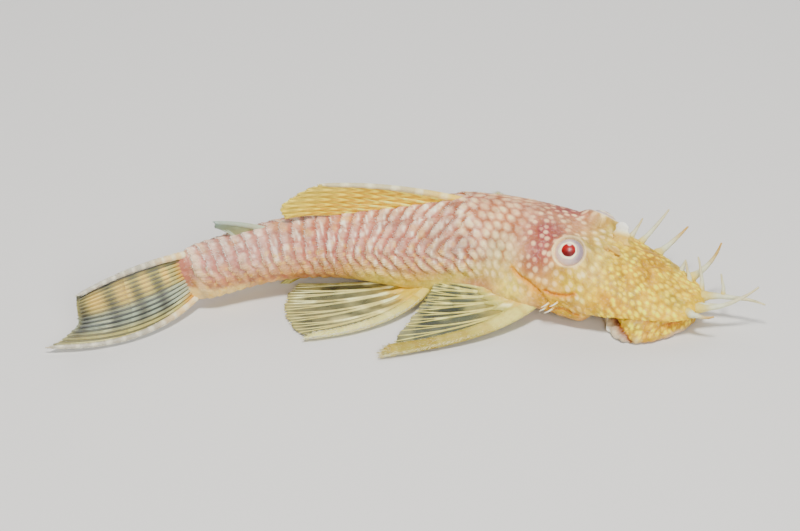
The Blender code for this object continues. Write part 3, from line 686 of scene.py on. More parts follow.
# ------------------------------------------------------------------ the skin's colours
GOLD, PALE_GOLD, OCHRE = srgb(208, 184, 92), srgb(226, 204, 122), srgb(188, 152, 58)
PINK, ROSE, LAVENDER = srgb(200, 164, 150), srgb(164, 94, 106), srgb(212, 198, 202)
CREAM, WHITE, ORANGE, BURNT = srgb(226, 210, 172), srgb(240, 234, 228), srgb(206, 158, 74), srgb(178, 104, 34)
OLIVE, BELLY = srgb(196, 184, 106), srgb(224, 204, 168)

tint = np.tile(PINK, SG.shape + (1,))
tint = mix(tint, GOLD, step(SG + 0.25 * V, 19.5, 13.5))
tint = mix(tint, PALE_GOLD, 0.75 * blob(SG, V, (4, 3), (5, 5)))
tint = mix(tint, OCHRE, 0.50 * blob(SG, V, (9.2, 3), (1.8, 5)))
tint = mix(tint, srgb(204, 190, 132), 0.9 * blob(SG, V, (16.0, 2.0), (3.6, 5.0)))          # forehead
tint = mix(tint, srgb(202, 170, 146), 0.85 * blob(SG, V, (21.0, 0), (3, 4)))
tint = mix(tint, srgb(216, 200, 152), 0.9 * blob(SG, V, (15.4, 7.4), (2.8, 3.4)))          # in front of the eye
tint = mix(tint, srgb(206, 188, 96), 0.90 * blob(SG, V, (16.6, 10.8), (3.8, 2.6)))        # cheek
tint = mix(tint, srgb(182, 172, 122), 0.50 * on_snout * step(waves(SG, SV, 3.2, 35), 0.0, 0.7))
tint = mix(tint, srgb(226, 196, 92), 0.55 * on_snout * step(waves(SG, SV, 2.4, 39), 0.05, 0.7))
tint = mix(tint, ROSE, 0.95 * blob(SG, V, (23.4, 4.4), (2.8, 3.2)))                        # temple
tint = mix(tint, ROSE, 0.76 * blob(SG, V, (22.8, 8.6), (1.9, 1.8)))
tint = mix(tint, ROSE, 0.85 * blob(SG, V, (24.2, 10.9), (1.9, 1.2)))
tint = mix(tint, srgb(204, 172, 150), 0.8 * blob(SG, V, (31.0, 3.0), (4.5, 5.0)))          # nape
tint = mix(tint, srgb(208, 196, 168), 0.88 * blob(SG, V, (30.0, 9.8), (3.8, 3.4)))         # shoulder bone
tint = mix(tint, srgb(222, 208, 142), 0.94 * blob(SG, V, (26.5, 14.2), (4.8, 3.4)))
tint = mix(tint, srgb(194, 188, 98), 0.92 * blob(SG, V, (36.5, 12.2), (4.4, 1.5)))
tint = mix(tint, srgb(198, 186, 182), 0.8 * blob(SG, V, (38.5, 9.5), (5.4, 2.4)))
tint = mix(tint, srgb(212, 200, 140), 0.94 * step(V / FLANK, 0.76, 0.92) * step(SG, 34, 40) * step(SG, 66, 54))
tint = mix(tint, ORANGE, 0.22 * blob(SG, V, (44.0, 12.0), (3.6, 1.0)))
tint = mix(tint, srgb(192, 158, 130), 0.6 * step(V / FLANK, 0.70, 0.92) * step(SG, 50, 58))
tint = mix(tint, BELLY, step(V / FLANK, 1.10, 1.22))
# between the plates the skin is a dusky pink, its own colour deepened by painted shade in the gaps; the plates pale and
# never quite one colour
tint = mix(tint, srgb(184, 142, 128), 0.70 * plated * (1 - face) * step(V / FLANK, 0.95, 0.7))
tint = mix(tint, srgb(188, 134, 130), 0.45 * plated * blob(SG * 0, V / FLANK, (0, 0.47), (1, 0.18)) * step(SG, 40, 52))
tint = mix(tint, srgb(184, 130, 124), 0.40 * plated * step(waves(SG, SV, 5.0, 17), 0.1, 0.7) * step(SG, 44, 56))
plate_colour = mix(np.tile(LAVENDER, SG.shape + (1,)), CREAM, np.clip(0.15 + 0.5 * _r + 0.6 * step(V / FLANK, 0.55, 0.85), 0, 1))
plate_colour = mix(plate_colour, WHITE, 0.7 * step(_r, 0.5, 0.9) * step(V / FLANK, 0.6, 0.3))
tint = mix(tint, plate_colour, plated * face * np.clip(0.40 + 0.40 * _r, 0, 1) * (0.55 + 0.45 * step(V / FLANK, 0.98, 0.7)))
streak = step(waves(SG * 2.6, SV * 0.9, 1.0, 91), 0.15, 0.75) * step(along, 0.15, 0.4) * step(along, 1.0, 0.9)
tint = mix(tint, WHITE, 0.60 * plated * streak * step(V / FLANK, 0.95, 0.75))
tint = mix(tint, srgb(178, 128, 118), 0.45 * plated * step(waves(SG * 1.6, SV, 0.8, 93), 0.2, 0.8) * step(V / FLANK, 0.95, 0.75))
tint = mix(tint, srgb(206, 176, 122), 0.40 * plated * step(waves(SG, SV, 1.5, 95), 0.25, 0.8))
# painted shade: a dark line along each plate's rear edge, under its overhang
tint = mix(tint, srgb(170, 118, 92), plated * 0.62 * step(along, 0.90, 0.98) * step(V / FLANK, 1.0, 0.8))
flecks, flecks_r = cells(SG, SV, 0.85, 0.4, 67)
tint = mix(tint, srgb(224, 198, 136), 0.6 * plated * step(flecks, 0.42, 0.2) * step(flecks_r, 0.62, 0.8) * step(V / FLANK, 0.35, 0.7))
spot_colour = mix(np.tile(srgb(234, 216, 192), SG.shape + (1,)), srgb(246, 228, 132), step(SG, 16, 13))
spot_colour = mix(spot_colour, srgb(232, 218, 194), step(SG, 25, 29))
strength = 0.80 * step(SG, 3, 8) * step(SG, 14, 11) + 0.55 * step(SG, 8, 3) + 0.82 * step(SG, 11, 15) - 0.16 * step(SG, 15, 18)
tint = mix(tint, spot_colour, np.clip(spots * strength * (0.60 + 0.6 * r2), 0, 1))
# darker between the spots
tint = mix(tint, OCHRE, 0.36 * on_snout * step(d1, 0.40, 0.62))
tint = mix(tint, srgb(178, 142, 98), 0.34 * on_head * step(d2, 0.40, 0.6) * step(V, 13, 10))
tint = mix(tint, srgb(172, 122, 90), 0.66 * on_nape * step(d3, 0.40, 0.60) * step(V, 12, 9))
# orange in the folds: the skin's own orange, darkened along the grooves by painted shade
tint = mix(tint, srgb(206, 164, 70), 0.85 * np.exp(-(gill / 0.42) ** 2))
tint = mix(tint, srgb(214, 178, 96), 0.60 * np.exp(-((gill - 0.5) / 1.0) ** 2) * step(gill_t, 0.2, 0.6))
tint = mix(tint, srgb(200, 182, 66), 0.92 * blob(SG, V, (17.8, 14.8), (2.8, 1.7)))
tint = mix(tint, srgb(206, 160, 56), 0.85 * np.exp(-(slit / 0.30) ** 2))
tint = mix(tint, srgb(200, 160, 60), 0.55 * pleats * (0.5 + 0.5 * np.sin(2 * math.pi * V / 0.55 + 0.6 * SG)))
tint = mix(tint, srgb(186, 130, 44), 0.5 * np.exp(-(throat / 0.24) ** 2))
tint = mix(tint, srgb(194, 164, 56), 0.80 * np.exp(-(crease / 0.80) ** 2) * step(crease_t, 1.0, 0.6))
tint = mix(tint, srgb(198, 170, 74), 0.45 * np.exp(-(brow / 0.70) ** 2))
tint = mix(tint, srgb(200, 168, 74), 0.40 * np.exp(-(cheek / 0.70) ** 2))
tint = mix(tint, srgb(194, 162, 62), 0.66 * (blob(SG, V, (12.1, 9.2), (0.8, 0.7)) + blob(SG, V, (11.4, 10.1), (0.8, 0.6)) + blob(SG, V, (13.0, 11.6), (0.6, 0.5))))
# painted shade: darker along the snout's lower edge, under the head
tint = mix(tint, srgb(186, 150, 70), 0.45 * step(V, 14.2, 15.6) * step(SG, 16, 13) * step(straight[..., 2], 3.0, 2.2))
tint = mix(tint, srgb(192, 146, 136), 0.70 * step(SG, 79.2, 79.9) * step(SG, 81.0, 80.4) * step(V / FLANK, 1.1, 0.9))      # the tail fin's base
tint = mix(tint, srgb(222, 206, 184), 0.6 * step(SG, 77.6, 78.4) * step(SG, 79.3, 78.8))
tint = mix(tint, srgb(206, 154, 102), 0.8 * step(SG, 80.6, 81.2))
# painted shade in the nostril pits
tint = mix(tint, srgb(168, 136, 96), 0.65 * np.clip(pit, 0, 1))
tint = mix(tint, srgb(216, 198, 150), 0.5 * nostril_rim)
# the pale ring round each eye; the far (left) eye's ring is whiter: a painted highlight over the ring's own pale colour
tint = mix(tint, mix(np.tile(srgb(222, 206, 182), SG.shape + (1,)), srgb(226, 218, 212), step(SIDE, -0.5, 0.5)), 0.92 * np.clip(ring_mask, 0, 1))
tint = mix(tint, srgb(206, 184, 186), 0.30 * plated * step(SG, 60, 70) * step(V / FLANK, 1.0, 0.8))
tint = tint * (1 + 0.07 * waves(SG, SV, 2.6, 31) + 0.09 * waves(SG, SV, 0.9, 33) + 0.07 * waves(SG, SV, 0.38, 37))[..., None]
tint = np.clip(tint, 0, 1)

skin = Shape()
n_s, n_a = SG.shape
quads = grid_faces(n_s, n_a, wrap=True)
nose_tip, rear = skin_points[0].mean(0), skin_points[-1].mean(0)
k = np.arange(n_a)
tris = np.concatenate([np.stack([(k + 1) % n_a, k, np.full(n_a, n_s * n_a)], -1),
                       np.stack([(n_s - 1) * n_a + k, (n_s - 1) * n_a + (k + 1) % n_a, np.full(n_a, n_s * n_a + 1)], -1)])
with_ends = lambda x: np.concatenate([x.reshape(n_s * n_a, -1), x[0].reshape(n_a, -1).mean(0)[None], x[-1].reshape(n_a, -1).mean(0)[None]])
stripes = plated * (0.35 + 0.65 * step(V / FLANK, 0.5, 0.75)) * face * (1 - 0.35 * step(SG, 62, 72))
skin.add(np.concatenate([skin_points.reshape(-1, 3), [nose_tip, rear]]), quads, tris, tint=with_ends(tint),
         plate=with_ends(plated * face + 0.6 * spots)[:, 0], lines=with_ends(stripes)[:, 0], across=with_ends(SV)[:, 0])


def on_skin(s, sv):
    """The skin's point and normal at a station and a signed arc from the midline."""
    i = int(np.clip(np.searchsorted(stations, s) - 1, 0, n_s - 2))
    f = (s - stations[i]) / (stations[i + 1] - stations[i])
    j = int(np.clip(np.searchsorted(SV[i, :261], sv) - 1, 0, 259))
    g = np.clip((sv - SV[i, j]) / (SV[i, j + 1] - SV[i, j] + 1e-9), 0, 1)
    w = ((1 - f) * (1 - g), (1 - f) * g, f * (1 - g), f * g)
    at = ((i, j), (i, j + 1), (i + 1, j), (i + 1, j + 1))
    return sum(a * skin_points[q] for a, q in zip(w, at)), unit(sum(a * normal[q] for a, q in zip(w, at)))


# ------------------------------------------------------------------ feelers of the snout
FEELERS = (
    (14.7, 52, 2.9, 0.36, 0.25, 70, -6, 35, 20),
    (13.4, 58, 6.6, 0.46, 0.26, 66, 6, 26, 8),
    (10.5, 62, 6.4, 0.60, 0.27, 64, 6, 16, 10),
    (5.6, 50, 1.4, 0.30, 0.25, 70, 0, 60, 0),
    (4.4, 66, 6.6, 0.62, 0.27, 48, -6, 18, 58),
    (3.4, 40, 2.6, 0.32, 0.25, 130, 30, 58, 10),
    (1.6, 58, 4.4, 0.30, 0.25, 100, 60, 50, 16),
    (1.2, 42, 8.5, 0.60, 0.26, 20, -18, 8, -14),
    (0.8, -28, 9.0, 0.56, 0.26, 26, 10, -2, 44),
    (0.8, -14, 2.2, 0.40, 0.26, 28, 0, 6, 0),
    (1.4, -52, 3.4, 0.50, 0.26, -26, 54, -4, 14),
)
FORK = (7, 0.4, 3.2, 0.27, 0.25, 100, 60, 55, 10)


def feeler(start, length, root, tip, bearing, turn, lift_, rise):
    steps = 7
    t = np.linspace(0, 1, steps)
    h = np.radians(float(heading(0)) + bearing + turn * t)
    v = np.radians(lift_ + rise * t)
    go = np.stack([np.cos(h) * np.cos(v), np.sin(h) * np.cos(v), np.sin(v)], -1) * length / (steps - 1)
    path = start + np.concatenate([[np.zeros(3)], np.cumsum(0.5 * (go[1:] + go[:-1]), 0)])
    path[:, 2] = np.maximum(path[:, 2], 0.35)
    return path, root + (tip - root) * t**0.8


feelers = []
for s, angle, length, *rest in FEELERS:
    feelers.append(feeler(bend(body(s, math.radians(angle), -0.8)), length + 0.8, *rest) + (0.8,))
feelers.append(feeler(feelers[FORK[0]][0][2], *FORK[2:]) + (0.3,))
for side, s0, u0, length, bearing_, lift_ in FLAPS:
    angle = side * math.asin((u0 / float(half_width(s0))) ** (float(upper_power(s0)) / 2))
    path, _ = feeler(bend(body(s0, angle, -0.7)), length + 0.7, 0.9, 0.35, bearing_, 0, lift_, 10)
    path = resample(path, 18)
    t = np.linspace(0, 1, 18)
    flare = np.interp(t, (0, 0.25, 0.45, 0.65, 0.85, 1), (1.35, 1.30, 1.22, 1.12, 0.90, 0.45)) * (1 if side > 0 else 0.7)
    flare = flare * (1 + 0.14 * np.sin(15 * t + 1))
    h = math.radians(float(heading(s0)))
    points, q, tr = tube(path, flare, flare * 0.16 + 0.07, np.tile((-math.sin(h), math.cos(h), -0.15 * side), (18, 1)), 18)
    colour = mix(np.tile(srgb(214, 194, 142), (18, 1)), srgb(236, 232, 224), step(t, 0.35, 0.75)) if side > 0 else \
        mix(np.tile(srgb(208, 184, 128), (18, 1)), srgb(214, 196, 152), step(t, 0.25, 0.7))
    skin.add(points, q, tr, tint=along_tube(colour, 18), plate=0.3)

for number_, (path, radii, sunk) in enumerate(feelers):
    count = max(12, int(np.linalg.norm(np.diff(path, axis=0), axis=1).sum() / 0.22))
    length = np.linalg.norm(np.diff(path, axis=0), axis=1).sum()
    fine = resample(path, count)
    t = np.linspace(0, 1, count)
    out = t * length - sunk                       # distance beyond the skin
    r = np.interp(t, np.linspace(0, 1, len(radii)), radii)
    r = r * (1.04 - 0.50 * t**2) + 0.45 * r[0] * np.exp(-np.maximum(out, 0) / 0.5)
    wobble = 0.05 * np.sin(9 * t + number_) * step(t, 0.1, 0.5)
    fine[:, 2] += wobble
    fine[:, 0] += 0.6 * wobble
    r *= 1 + 0.05 * np.sin(31 * t + 2 * number_)
    fine[:, 2] = np.maximum(fine[:, 2], r + 0.02)
    points, q, tr = tube(fine, r, r * 0.88, np.tile((0.13, 0.31, 0.94), (count, 1)), 14)
    colour = mix(np.tile(srgb(212, 198, 148), (count, 1)), srgb(210, 208, 196), step(t, 0.06, 0.30))
    warm = 0.75 if number_ in (2, 4, 10) else 0.22
    colour = mix(colour, srgb(198, 166, 98), warm * step(t, 0.35, 0.95))
    skin.add(points, q, tr, tint=along_tube(colour, 14), plate=0.2, across=0.0)

# ------------------------------------------------------------------ lips: the sucker under the snout
DISC_S, DISC_REACH, DISC_HALF = 7.7, 6.3, 8.5
DISC_LOBE, DISC_REAR = 0.12, 0.13
n_round = 192
a = 2 * math.pi * np.arange(n_round) / n_round
shares = np.array((0.12, 0.25, 0.40, 0.52, 0.60, 0.66, 0.70, 0.74, 0.80, 0.86, 0.91, 0.95, 0.98, 1.0, 1.005, 1.0, 0.99, 0.978, 0.966, 0.955, 0.945, 0.93, 0.90, 0.85))
levels = np.array((1.3, 1.15, 1.05, 0.9, 0.62, 0.35, 0.15, 0.04, 0.02, 0.02, 0.04, 0.10, 0.22, 0.42, 0.64, 0.88, 1.12, 1.36, 1.6, 1.85, 2.15, 2.5, 2.9, 3.2))
sh, aa = np.meshgrid(shares, a, indexing="ij")
lv = np.tile(levels[:, None], (1, n_round))
turned = (aa + math.pi) % (2 * math.pi) - math.pi          # 0 in front, positive to the left
corner = np.exp(-((np.abs(turned) - 1.95) / 0.9) ** 2)
low_rim = step(lv, 2.2, 0.9)
lobe = 1 + 0.03 * np.cos(4 * aa) + DISC_LOBE * corner * low_rim - DISC_REAR * np.exp(-((np.abs(turned) - math.pi) / 0.6) ** 2)
lobe = lobe + 0.045 * np.exp(-((np.abs(turned) - 1.42) / 0.34) ** 2) * step(lv, 1.4, 2.2)
lobe = lobe + low_rim * (0.010 * np.sin(17 * aa + 0.8) + 0.006 * np.sin(41 * aa + 1)) * step(sh, 0.6, 0.95)
# two creases where the lip meets the snout: behind the corner of the mouth, and in front
rear_fold, rear_t = to_path(np.abs(turned) * 5, lv, ((13.5, 2.1), (11.0, 1.9), (9.8, 1.8), (8.8, 1.5), (8.0, 1.05), (7.5, 0.4)))
rear_fold = np.exp(-(rear_fold / 0.30) ** 2) * step(lv, 0.15, 0.4) * step(np.abs(turned), 2.9, 2.5)
front_fold = np.exp(-((lv - 2.05) / 0.26) ** 2) * np.exp(-((np.abs(turned) - 0.62) / 0.26) ** 2)
lobe = lobe - 0.055 * rear_fold - 0.035 * front_fold
frill = step(lv - np.interp(np.abs(turned) * 5, (7.4, 7.6, 8.0, 8.8, 9.8, 11.0, 13.5), (-1.0, 0.3, 1.0, 1.45, 1.7, 1.8, 1.9)), 0.12, -0.12)
lobe = lobe + 0.012 * np.sin(26 * aa + 2 * lv) * frill
lips = bend(np.stack([DISC_S - DISC_REACH * sh * lobe * np.cos(aa), DISC_HALF * sh * lobe * np.sin(aa), lv], -1))
knobs, _ = cells(DISC_REACH * sh * np.cos(aa), DISC_HALF * sh * np.sin(aa), 0.75, 0.3, 41)
lips[..., 2] += 0.10 * step(knobs, 0.5, 0.15) * step(lv, 0.9, 0.0)
lips[..., 2] = np.maximum(lips[..., 2], 0.02)
around = turned * DISC_HALF
dots, dots_r = cells(around, lv * 1.3, 1.15, 0.34, 43)
lip_tint = mix(np.tile(srgb(184, 156, 112), sh.shape + (1,)), srgb(206, 178, 144), step(lv, 1.2, 0.2))
lip_tint = mix(lip_tint, srgb(200, 174, 88), step(lv, 0.25, 0.7) * step(sh, 0.80, 0.93))
lip_tint = mix(lip_tint, srgb(186, 174, 120), 0.4 * step(waves(around, lv * 1.3, 3.0, 45), 0.0, 0.7) * step(lv, 0.25, 0.7))
lip_tint = mix(lip_tint, srgb(246, 228, 132), 0.78 * step(dots, 0.40, 0.18) * step(lv, 0.5, 0.9))
white_front = np.exp(-((np.abs(turned) - 0.50) / 0.34) ** 2) * step(lv, 1.15, 0.65)
lip_tint = mix(lip_tint, srgb(210, 196, 190), 0.85 * white_front)
lip_tint = mix(lip_tint, srgb(206, 196, 190), 0.9 * frill)
lip_tint = mix(lip_tint, srgb(236, 232, 228), 0.8 * frill * step(np.sin(9 * aa + 3 * lv), 0.0, 0.8))
lip_tint = mix(lip_tint, srgb(212, 202, 182), 0.7 * np.exp(-((np.abs(turned) - 1.38) / 0.10) ** 2) * step(lv, 1.4, 0.9))
# painted shade: dark orange in the two creases where the lip meets the snout
lip_tint = mix(lip_tint, srgb(150, 98, 56), 0.95 * rear_fold)
lip_tint = mix(lip_tint, srgb(184, 128, 62), 0.85 * front_fold)
lip_tint = mix(lip_tint, srgb(194, 152, 80), 0.5 * np.exp(-((np.abs(turned) - 1.2) / 0.08) ** 2) * step(lv, 0.5, 1.2))
lip_tint = lip_tint * (1 + 0.05 * np.sin(23 * aa)[..., None])
m_s = len(shares)
k = np.arange(n_round)
tris = np.concatenate([np.stack([(k + 1) % n_round, k, np.full(n_round, m_s * n_round)], -1),
                       np.stack([(m_s - 1) * n_round + k, (m_s - 1) * n_round + (k + 1) % n_round, np.full(n_round, m_s * n_round + 1)], -1)])
skin.add(np.concatenate([lips.reshape(-1, 3), [lips[0].mean(0), lips[-1].mean(0)]]), grid_faces(m_s, n_round, wrap=True), tris,
         tint=np.concatenate([np.clip(lip_tint, 0, 1).reshape(-1, 3), lip_tint[0, :1], lip_tint[-1, :1]]), plate=0.4)

# ------------------------------------------------------------------ the paired fins' surfaces, and the fleshy pads at their bases
DENSE_J, DENSE_T = 97, 49


class Field:
    """A fin's middle surface, sampled densely: j across it from the spine to the last ray, t from base to edge."""

    def __init__(self, points):
        self.points = points
        self.rows, self.columns = points.shape[:2]
        du, dv = np.gradient(points, axis=0), np.gradient(points, axis=1)
        self.normals = unit(np.cross(du, dv))

    def at(self, j, t, what=None):
        grid = self.points if what is None else what
        j, t = np.broadcast_arrays(np.asarray(j, float), np.asarray(t, float))
        x, y = np.clip(j, 0, 1) * (self.rows - 1), np.clip(t, 0, 1) * (self.columns - 1)
        a, b = np.clip(x.astype(int), 0, self.rows - 2), np.clip(y.astype(int), 0, self.columns - 2)
        f, g = (x - a)[..., None], (y - b)[..., None]
        p = ((grid[a, b] * (1 - f) + grid[a + 1, b] * f) * (1 - g) + (grid[a, b + 1] * (1 - f) + grid[a + 1, b + 1] * f) * g)
        if what is None:                # past the edge the rays run straight on
            over = np.maximum(t - 1, 0)[..., None]
            p = p + over * (grid[a, -1] - grid[a, -4]) * (self.columns - 1) / 3
        return p

    def normal(self, j, t):
        return unit(self.at(j, t, self.normals))


def upright(bases, tips, sink, bow, side=0.0):
    t = np.linspace(0, 1, DENSE_T)[None, :]
    s = bases[:, :1] + (tips[:, :1] - bases[:, :1]) * t
    z = bases[:, 1:] - sink + (tips[:, 1:] - bases[:, 1:] + sink) * t + bow * 4 * t * (1 - t)
    points = bend(np.stack([s, side * t + 0 * s, z], -1))
    points[..., 2] = np.maximum(points[..., 2], 0.05)
    return Field(points)


def spread(root, run, bearing, curl, length, height, side):
    """A paired fin's surface: root and run place its base, bearing and curl the rays' directions (degrees outwards)."""
    s, u, z = root
    j, t = np.linspace(0, 1, DENSE_J), np.linspace(0, 1, DENSE_T)
    end, wide = bearing[0] + (bearing[1] - bearing[0]) * j, curl[0] + (curl[1] - curl[0]) * j
    reach = length[0] + (length[1] - length[0]) * j ** length[2] + length[3] * np.sin(math.pi * j)
    rest = height[0] + (height[1] - height[0]) * j**1.5
    root_z = z + run[2] * j
    h = math.radians(float(heading(s)))
    start = bend(np.stack([s + run[0] * j, side * (u + run[1] * j), root_z], -1))
    a = np.radians(end[:, None] + wide[:, None] * (1 - t)[None, :] ** curl[2])
    back, out = np.array([-math.cos(h), -math.sin(h)]), side * np.array([-math.sin(h), math.cos(h)])
    go = (np.cos(a)[..., None] * back + np.sin(a)[..., None] * out) * reach[:, None, None] / (DENSE_T - 1)
    xy = start[:, None, :2] + np.concatenate([np.zeros((DENSE_J, 1, 2)), np.cumsum(0.5 * (go[:, 1:] + go[:, :-1]), 1)], 1)
    zz = rest[:, None] + (root_z[:, None] - rest[:, None]) * (1 - t)[None, :] ** 1.6
    return Field(np.concatenate([xy, zz[..., None]], -1))


PAIRED = {}
for side, label, sweep in ((1, "left", 21), (-1, "right", 0)):
    PAIRED["pectoral_" + label] = spread((21.8, 9.3, 2.5), (8.0, 0.2, 0.9), (41 - sweep, 2), (34, 8, 2.0), (25.2, 9.3, 0.8, -1.7), (0.34, 3.5), side)
    PAIRED["pelvic_" + label] = spread((41.9, 7.1, 1.6), (2.6, -3.4, -0.8), (12 - 0.3 * sweep, 1), (56, 6, 1.3), (22.8, 17.6, 1.0, 1.6), (0.45, 0.5), side)


def pad_round(field, reach, thick, colour_at):
    """A pad of flesh round a fin's first part, thinning outwards; reach and thick as functions of j."""
    jn, tn = 61, 22
    j = np.linspace(-0.02, 1.02, jn)[:, None]
    out_and_back = np.concatenate([np.linspace(0, 1, tn), np.linspace(1, 0, tn)[1:]])[None, :]
    way = np.concatenate([np.ones(tn - 1), [0], -np.ones(tn - 1)])[None, :]
    t = reach(j) * out_and_back
    p = field.at(j, t)
    p = p + (j < 0)[..., None] * (field.at(0 * j, t) - field.at(0 * j + 0.02, t)) + (j > 1)[..., None] * (field.at(0 * j + 1, t) - field.at(0 * j + 0.98, t))
    n = field.normal(j, t)
    closed = np.clip(1 - np.abs(2 * j - 1) ** 7 * 0.86, 0.1, 1)
    lumps = 1 + 0.10 * waves(j * 9 + 0 * t, out_and_back * 4 + 0 * j, 1.0, 77)
    half = thick(j) * (1 - out_and_back**1.4) * closed * lumps + 0.03
    p = p + n * (way * half)[..., None]
    p[..., 2] = np.maximum(p[..., 2], 0.03)
    around = p.shape[1]
    ends = np.array([p[0].mean(0), p[-1].mean(0)])
    k = np.arange(around)
    tris_ = np.concatenate([np.stack([(k + 1) % around, k, np.full(around, jn * around)], -1),
                            np.stack([(jn - 1) * around + k, (jn - 1) * around + (k + 1) % around, np.full(around, jn * around + 1)], -1)])
    c = np.clip(colour_at(j + 0 * t, out_and_back + 0 * j), 0, 1)
    skin.add(np.concatenate([p.reshape(-1, 3), ends]), grid_faces(jn, around, wrap=True), tris_,
             tint=np.concatenate([c.reshape(-1, 3), c[0, :1], c[-1, :1]]), plate=0.2)


def pectoral_pad(j, q):
    c = mix(np.tile(srgb(214, 192, 134), j.shape + (1,)), srgb(206, 200, 150), step(q, 0.3, 0.9))
    white = step(blotches(j, q, 7, 3, 87), 0.60, 0.85)
    c = mix(c, srgb(184, 176, 136), 0.8 * step(q, 0.6, 1.0))
    return mix(c, srgb(244, 238, 220), 0.7 * white * step(q, 0.9, 0.5))


def pelvic_pad(j, q):
    c = mix(np.tile(srgb(212, 194, 116), j.shape + (1,)), srgb(214, 200, 136), step(q, 0.4, 1.0))
    c = mix(c, srgb(202, 182, 130), 0.8 * step(q, 0.6, 1.0))
    return mix(c, srgb(236, 206, 138), 0.5 * step(blotches(j, q, 7, 3, 88), 0.5, 0.85) * step(q, 1.0, 0.6))


def blotches(j, t, across_, along_, key):
    """Soft, elongated blotches that cross rays and membrane together."""
    return 0.5 + 0.5 * waves(j * across_, t * along_, 1.0, key)


for label in ("left", "right"):
    pad_round(PAIRED["pectoral_" + label], lambda j: 0.20 + 0.20 * j + 0.03 * np.cos(12 * math.pi * j), lambda j: 0.95 - 0.25 * j, pectoral_pad)
    pad_round(PAIRED["pelvic_" + label], lambda j: 0.28 - 0.08 * j + 0.03 * np.cos(10 * math.pi * j), lambda j: 0.72 - 0.2 * j, pelvic_pad)

skin_obj = skin.build("pleco_skin")
skin_obj.data.materials.append(SKIN)
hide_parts("snout", "head", "trunk", "tail", "mouth_disc", "opercle_left", "opercle_right")

# ------------------------------------------------------------------ bristles: the plates' small teeth, and the cheek hooks
def needles(shape, roots, ways, lengths, radius, tints, uvs):
    """Many small spines in one mesh, each a three-sided cone."""
    ways, n = unit(ways), len(roots)
    a_ = unit(np.cross(ways, np.where(np.abs(ways[:, 2:]) < 0.9, (0.0, 0.0, 1.0), (1.0, 0.0, 0.0))))
    b_ = np.cross(ways, a_)
    foot = [roots + radius * (math.cos(q) * a_ + math.sin(q) * b_) for q in (0, 2.094, 4.189)]
    points = np.stack(foot + [roots + ways * lengths[:, None]], 1)
    points[..., 2] = np.maximum(points[..., 2], 0.012)
    tris_ = (4 * np.arange(n)[:, None, None] + np.array([[0, 1, 3], [1, 2, 3], [2, 0, 3], [0, 2, 1]])[None]).reshape(-1, 3)
    patch = np.array([[0, 0], [0.003, 0], [0, 0.003], [0.0015, 0.0015]])
    shape.add(points.reshape(-1, 3), tris=tris_, uv=(uvs[:, None] + patch[None]).reshape(-1, 2), tint=np.repeat(tints, 4, 0))


TEETH = 9000
weight = plated * step(along, 0.70, 0.84) * step(along, 0.97, 0.92) * (V / FLANK < 1.0) * (np.abs(SG - BODY_END) > 2.2)
weight = weight + 0.10 * plated * step(along, 0.3, 0.6) * (V / FLANK < 1.0)
pick = rng.choice(weight.size, TEETH, replace=False, p=weight.reshape(-1) / weight.sum())
gi, gj = np.unravel_index(pick, weight.shape)
tailward = unit(skin_points[np.minimum(gi + 2, n_s - 1), gj] - skin_points[gi, gj])
ways = tailward + 0.32 * normal[gi, gj] + 0.12 * rng.standard_normal((TEETH, 3))
lengths = 0.22 + 0.20 * rng.random(TEETH)
tints = mix(np.tile(srgb(238, 230, 222), (TEETH, 1)), srgb(226, 206, 170), step(V[gi, gj] / FLANK[gi, 0], 0.5, 0.9))
teeth = Shape()
needles(teeth, skin_points[gi, gj] - 0.04 * normal[gi, gj], ways, lengths, 0.045, tints,
        np.stack([0.01 + 0.97 * SG[gi, gj] / BODY_END, 0.5 + SV[gi, gj] / 44], -1))
obj = teeth.build("plate_teeth", uv=True)
obj.data.materials.append(BRISTLE)
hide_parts("trunk", "tail")

GILL_ANGLE = (math.radians(68), math.radians(92))
HOOKS = ((18.4, 0.72, 2.1), (19.0, 0.45, 2.4), (19.7, 0.62, 2.0), (20.1, 0.35, 1.7))   # station, height share, length
hooks = Shape()
for side in (1, -1):
    for s, share, length in HOOKS:
        root = body(s, side * (GILL_ANGLE[1] + (share - 0.40) * (GILL_ANGLE[0] - GILL_ANGLE[1])), -0.25)
        t = np.linspace(0, 1, 14)
        line = np.stack([root[0] - 0.10 * length * t + 0.55 * length * t**2, root[1] + side * (0.25 + 0.22 * length) * np.sin(1.7 * t),
                         np.maximum(root[2] - 0.35 * length * t**2, 0.3)], -1)
        r = 0.19 - 0.14 * t
        points, q, tr = tube(bend(line), r, r, np.tile((0.1, 0.2, 0.97), (14, 1)), 8)
        hooks.add(points, q, tr, tint=along_tube(mix(np.tile(srgb(222, 196, 140), (14, 1)), srgb(240, 234, 222), step(t, 0.1, 0.6)), 8))
obj = hooks.build("cheek_hooks")
obj.data.materials.append(BRISTLE)
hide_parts("opercle_left", "opercle_right")

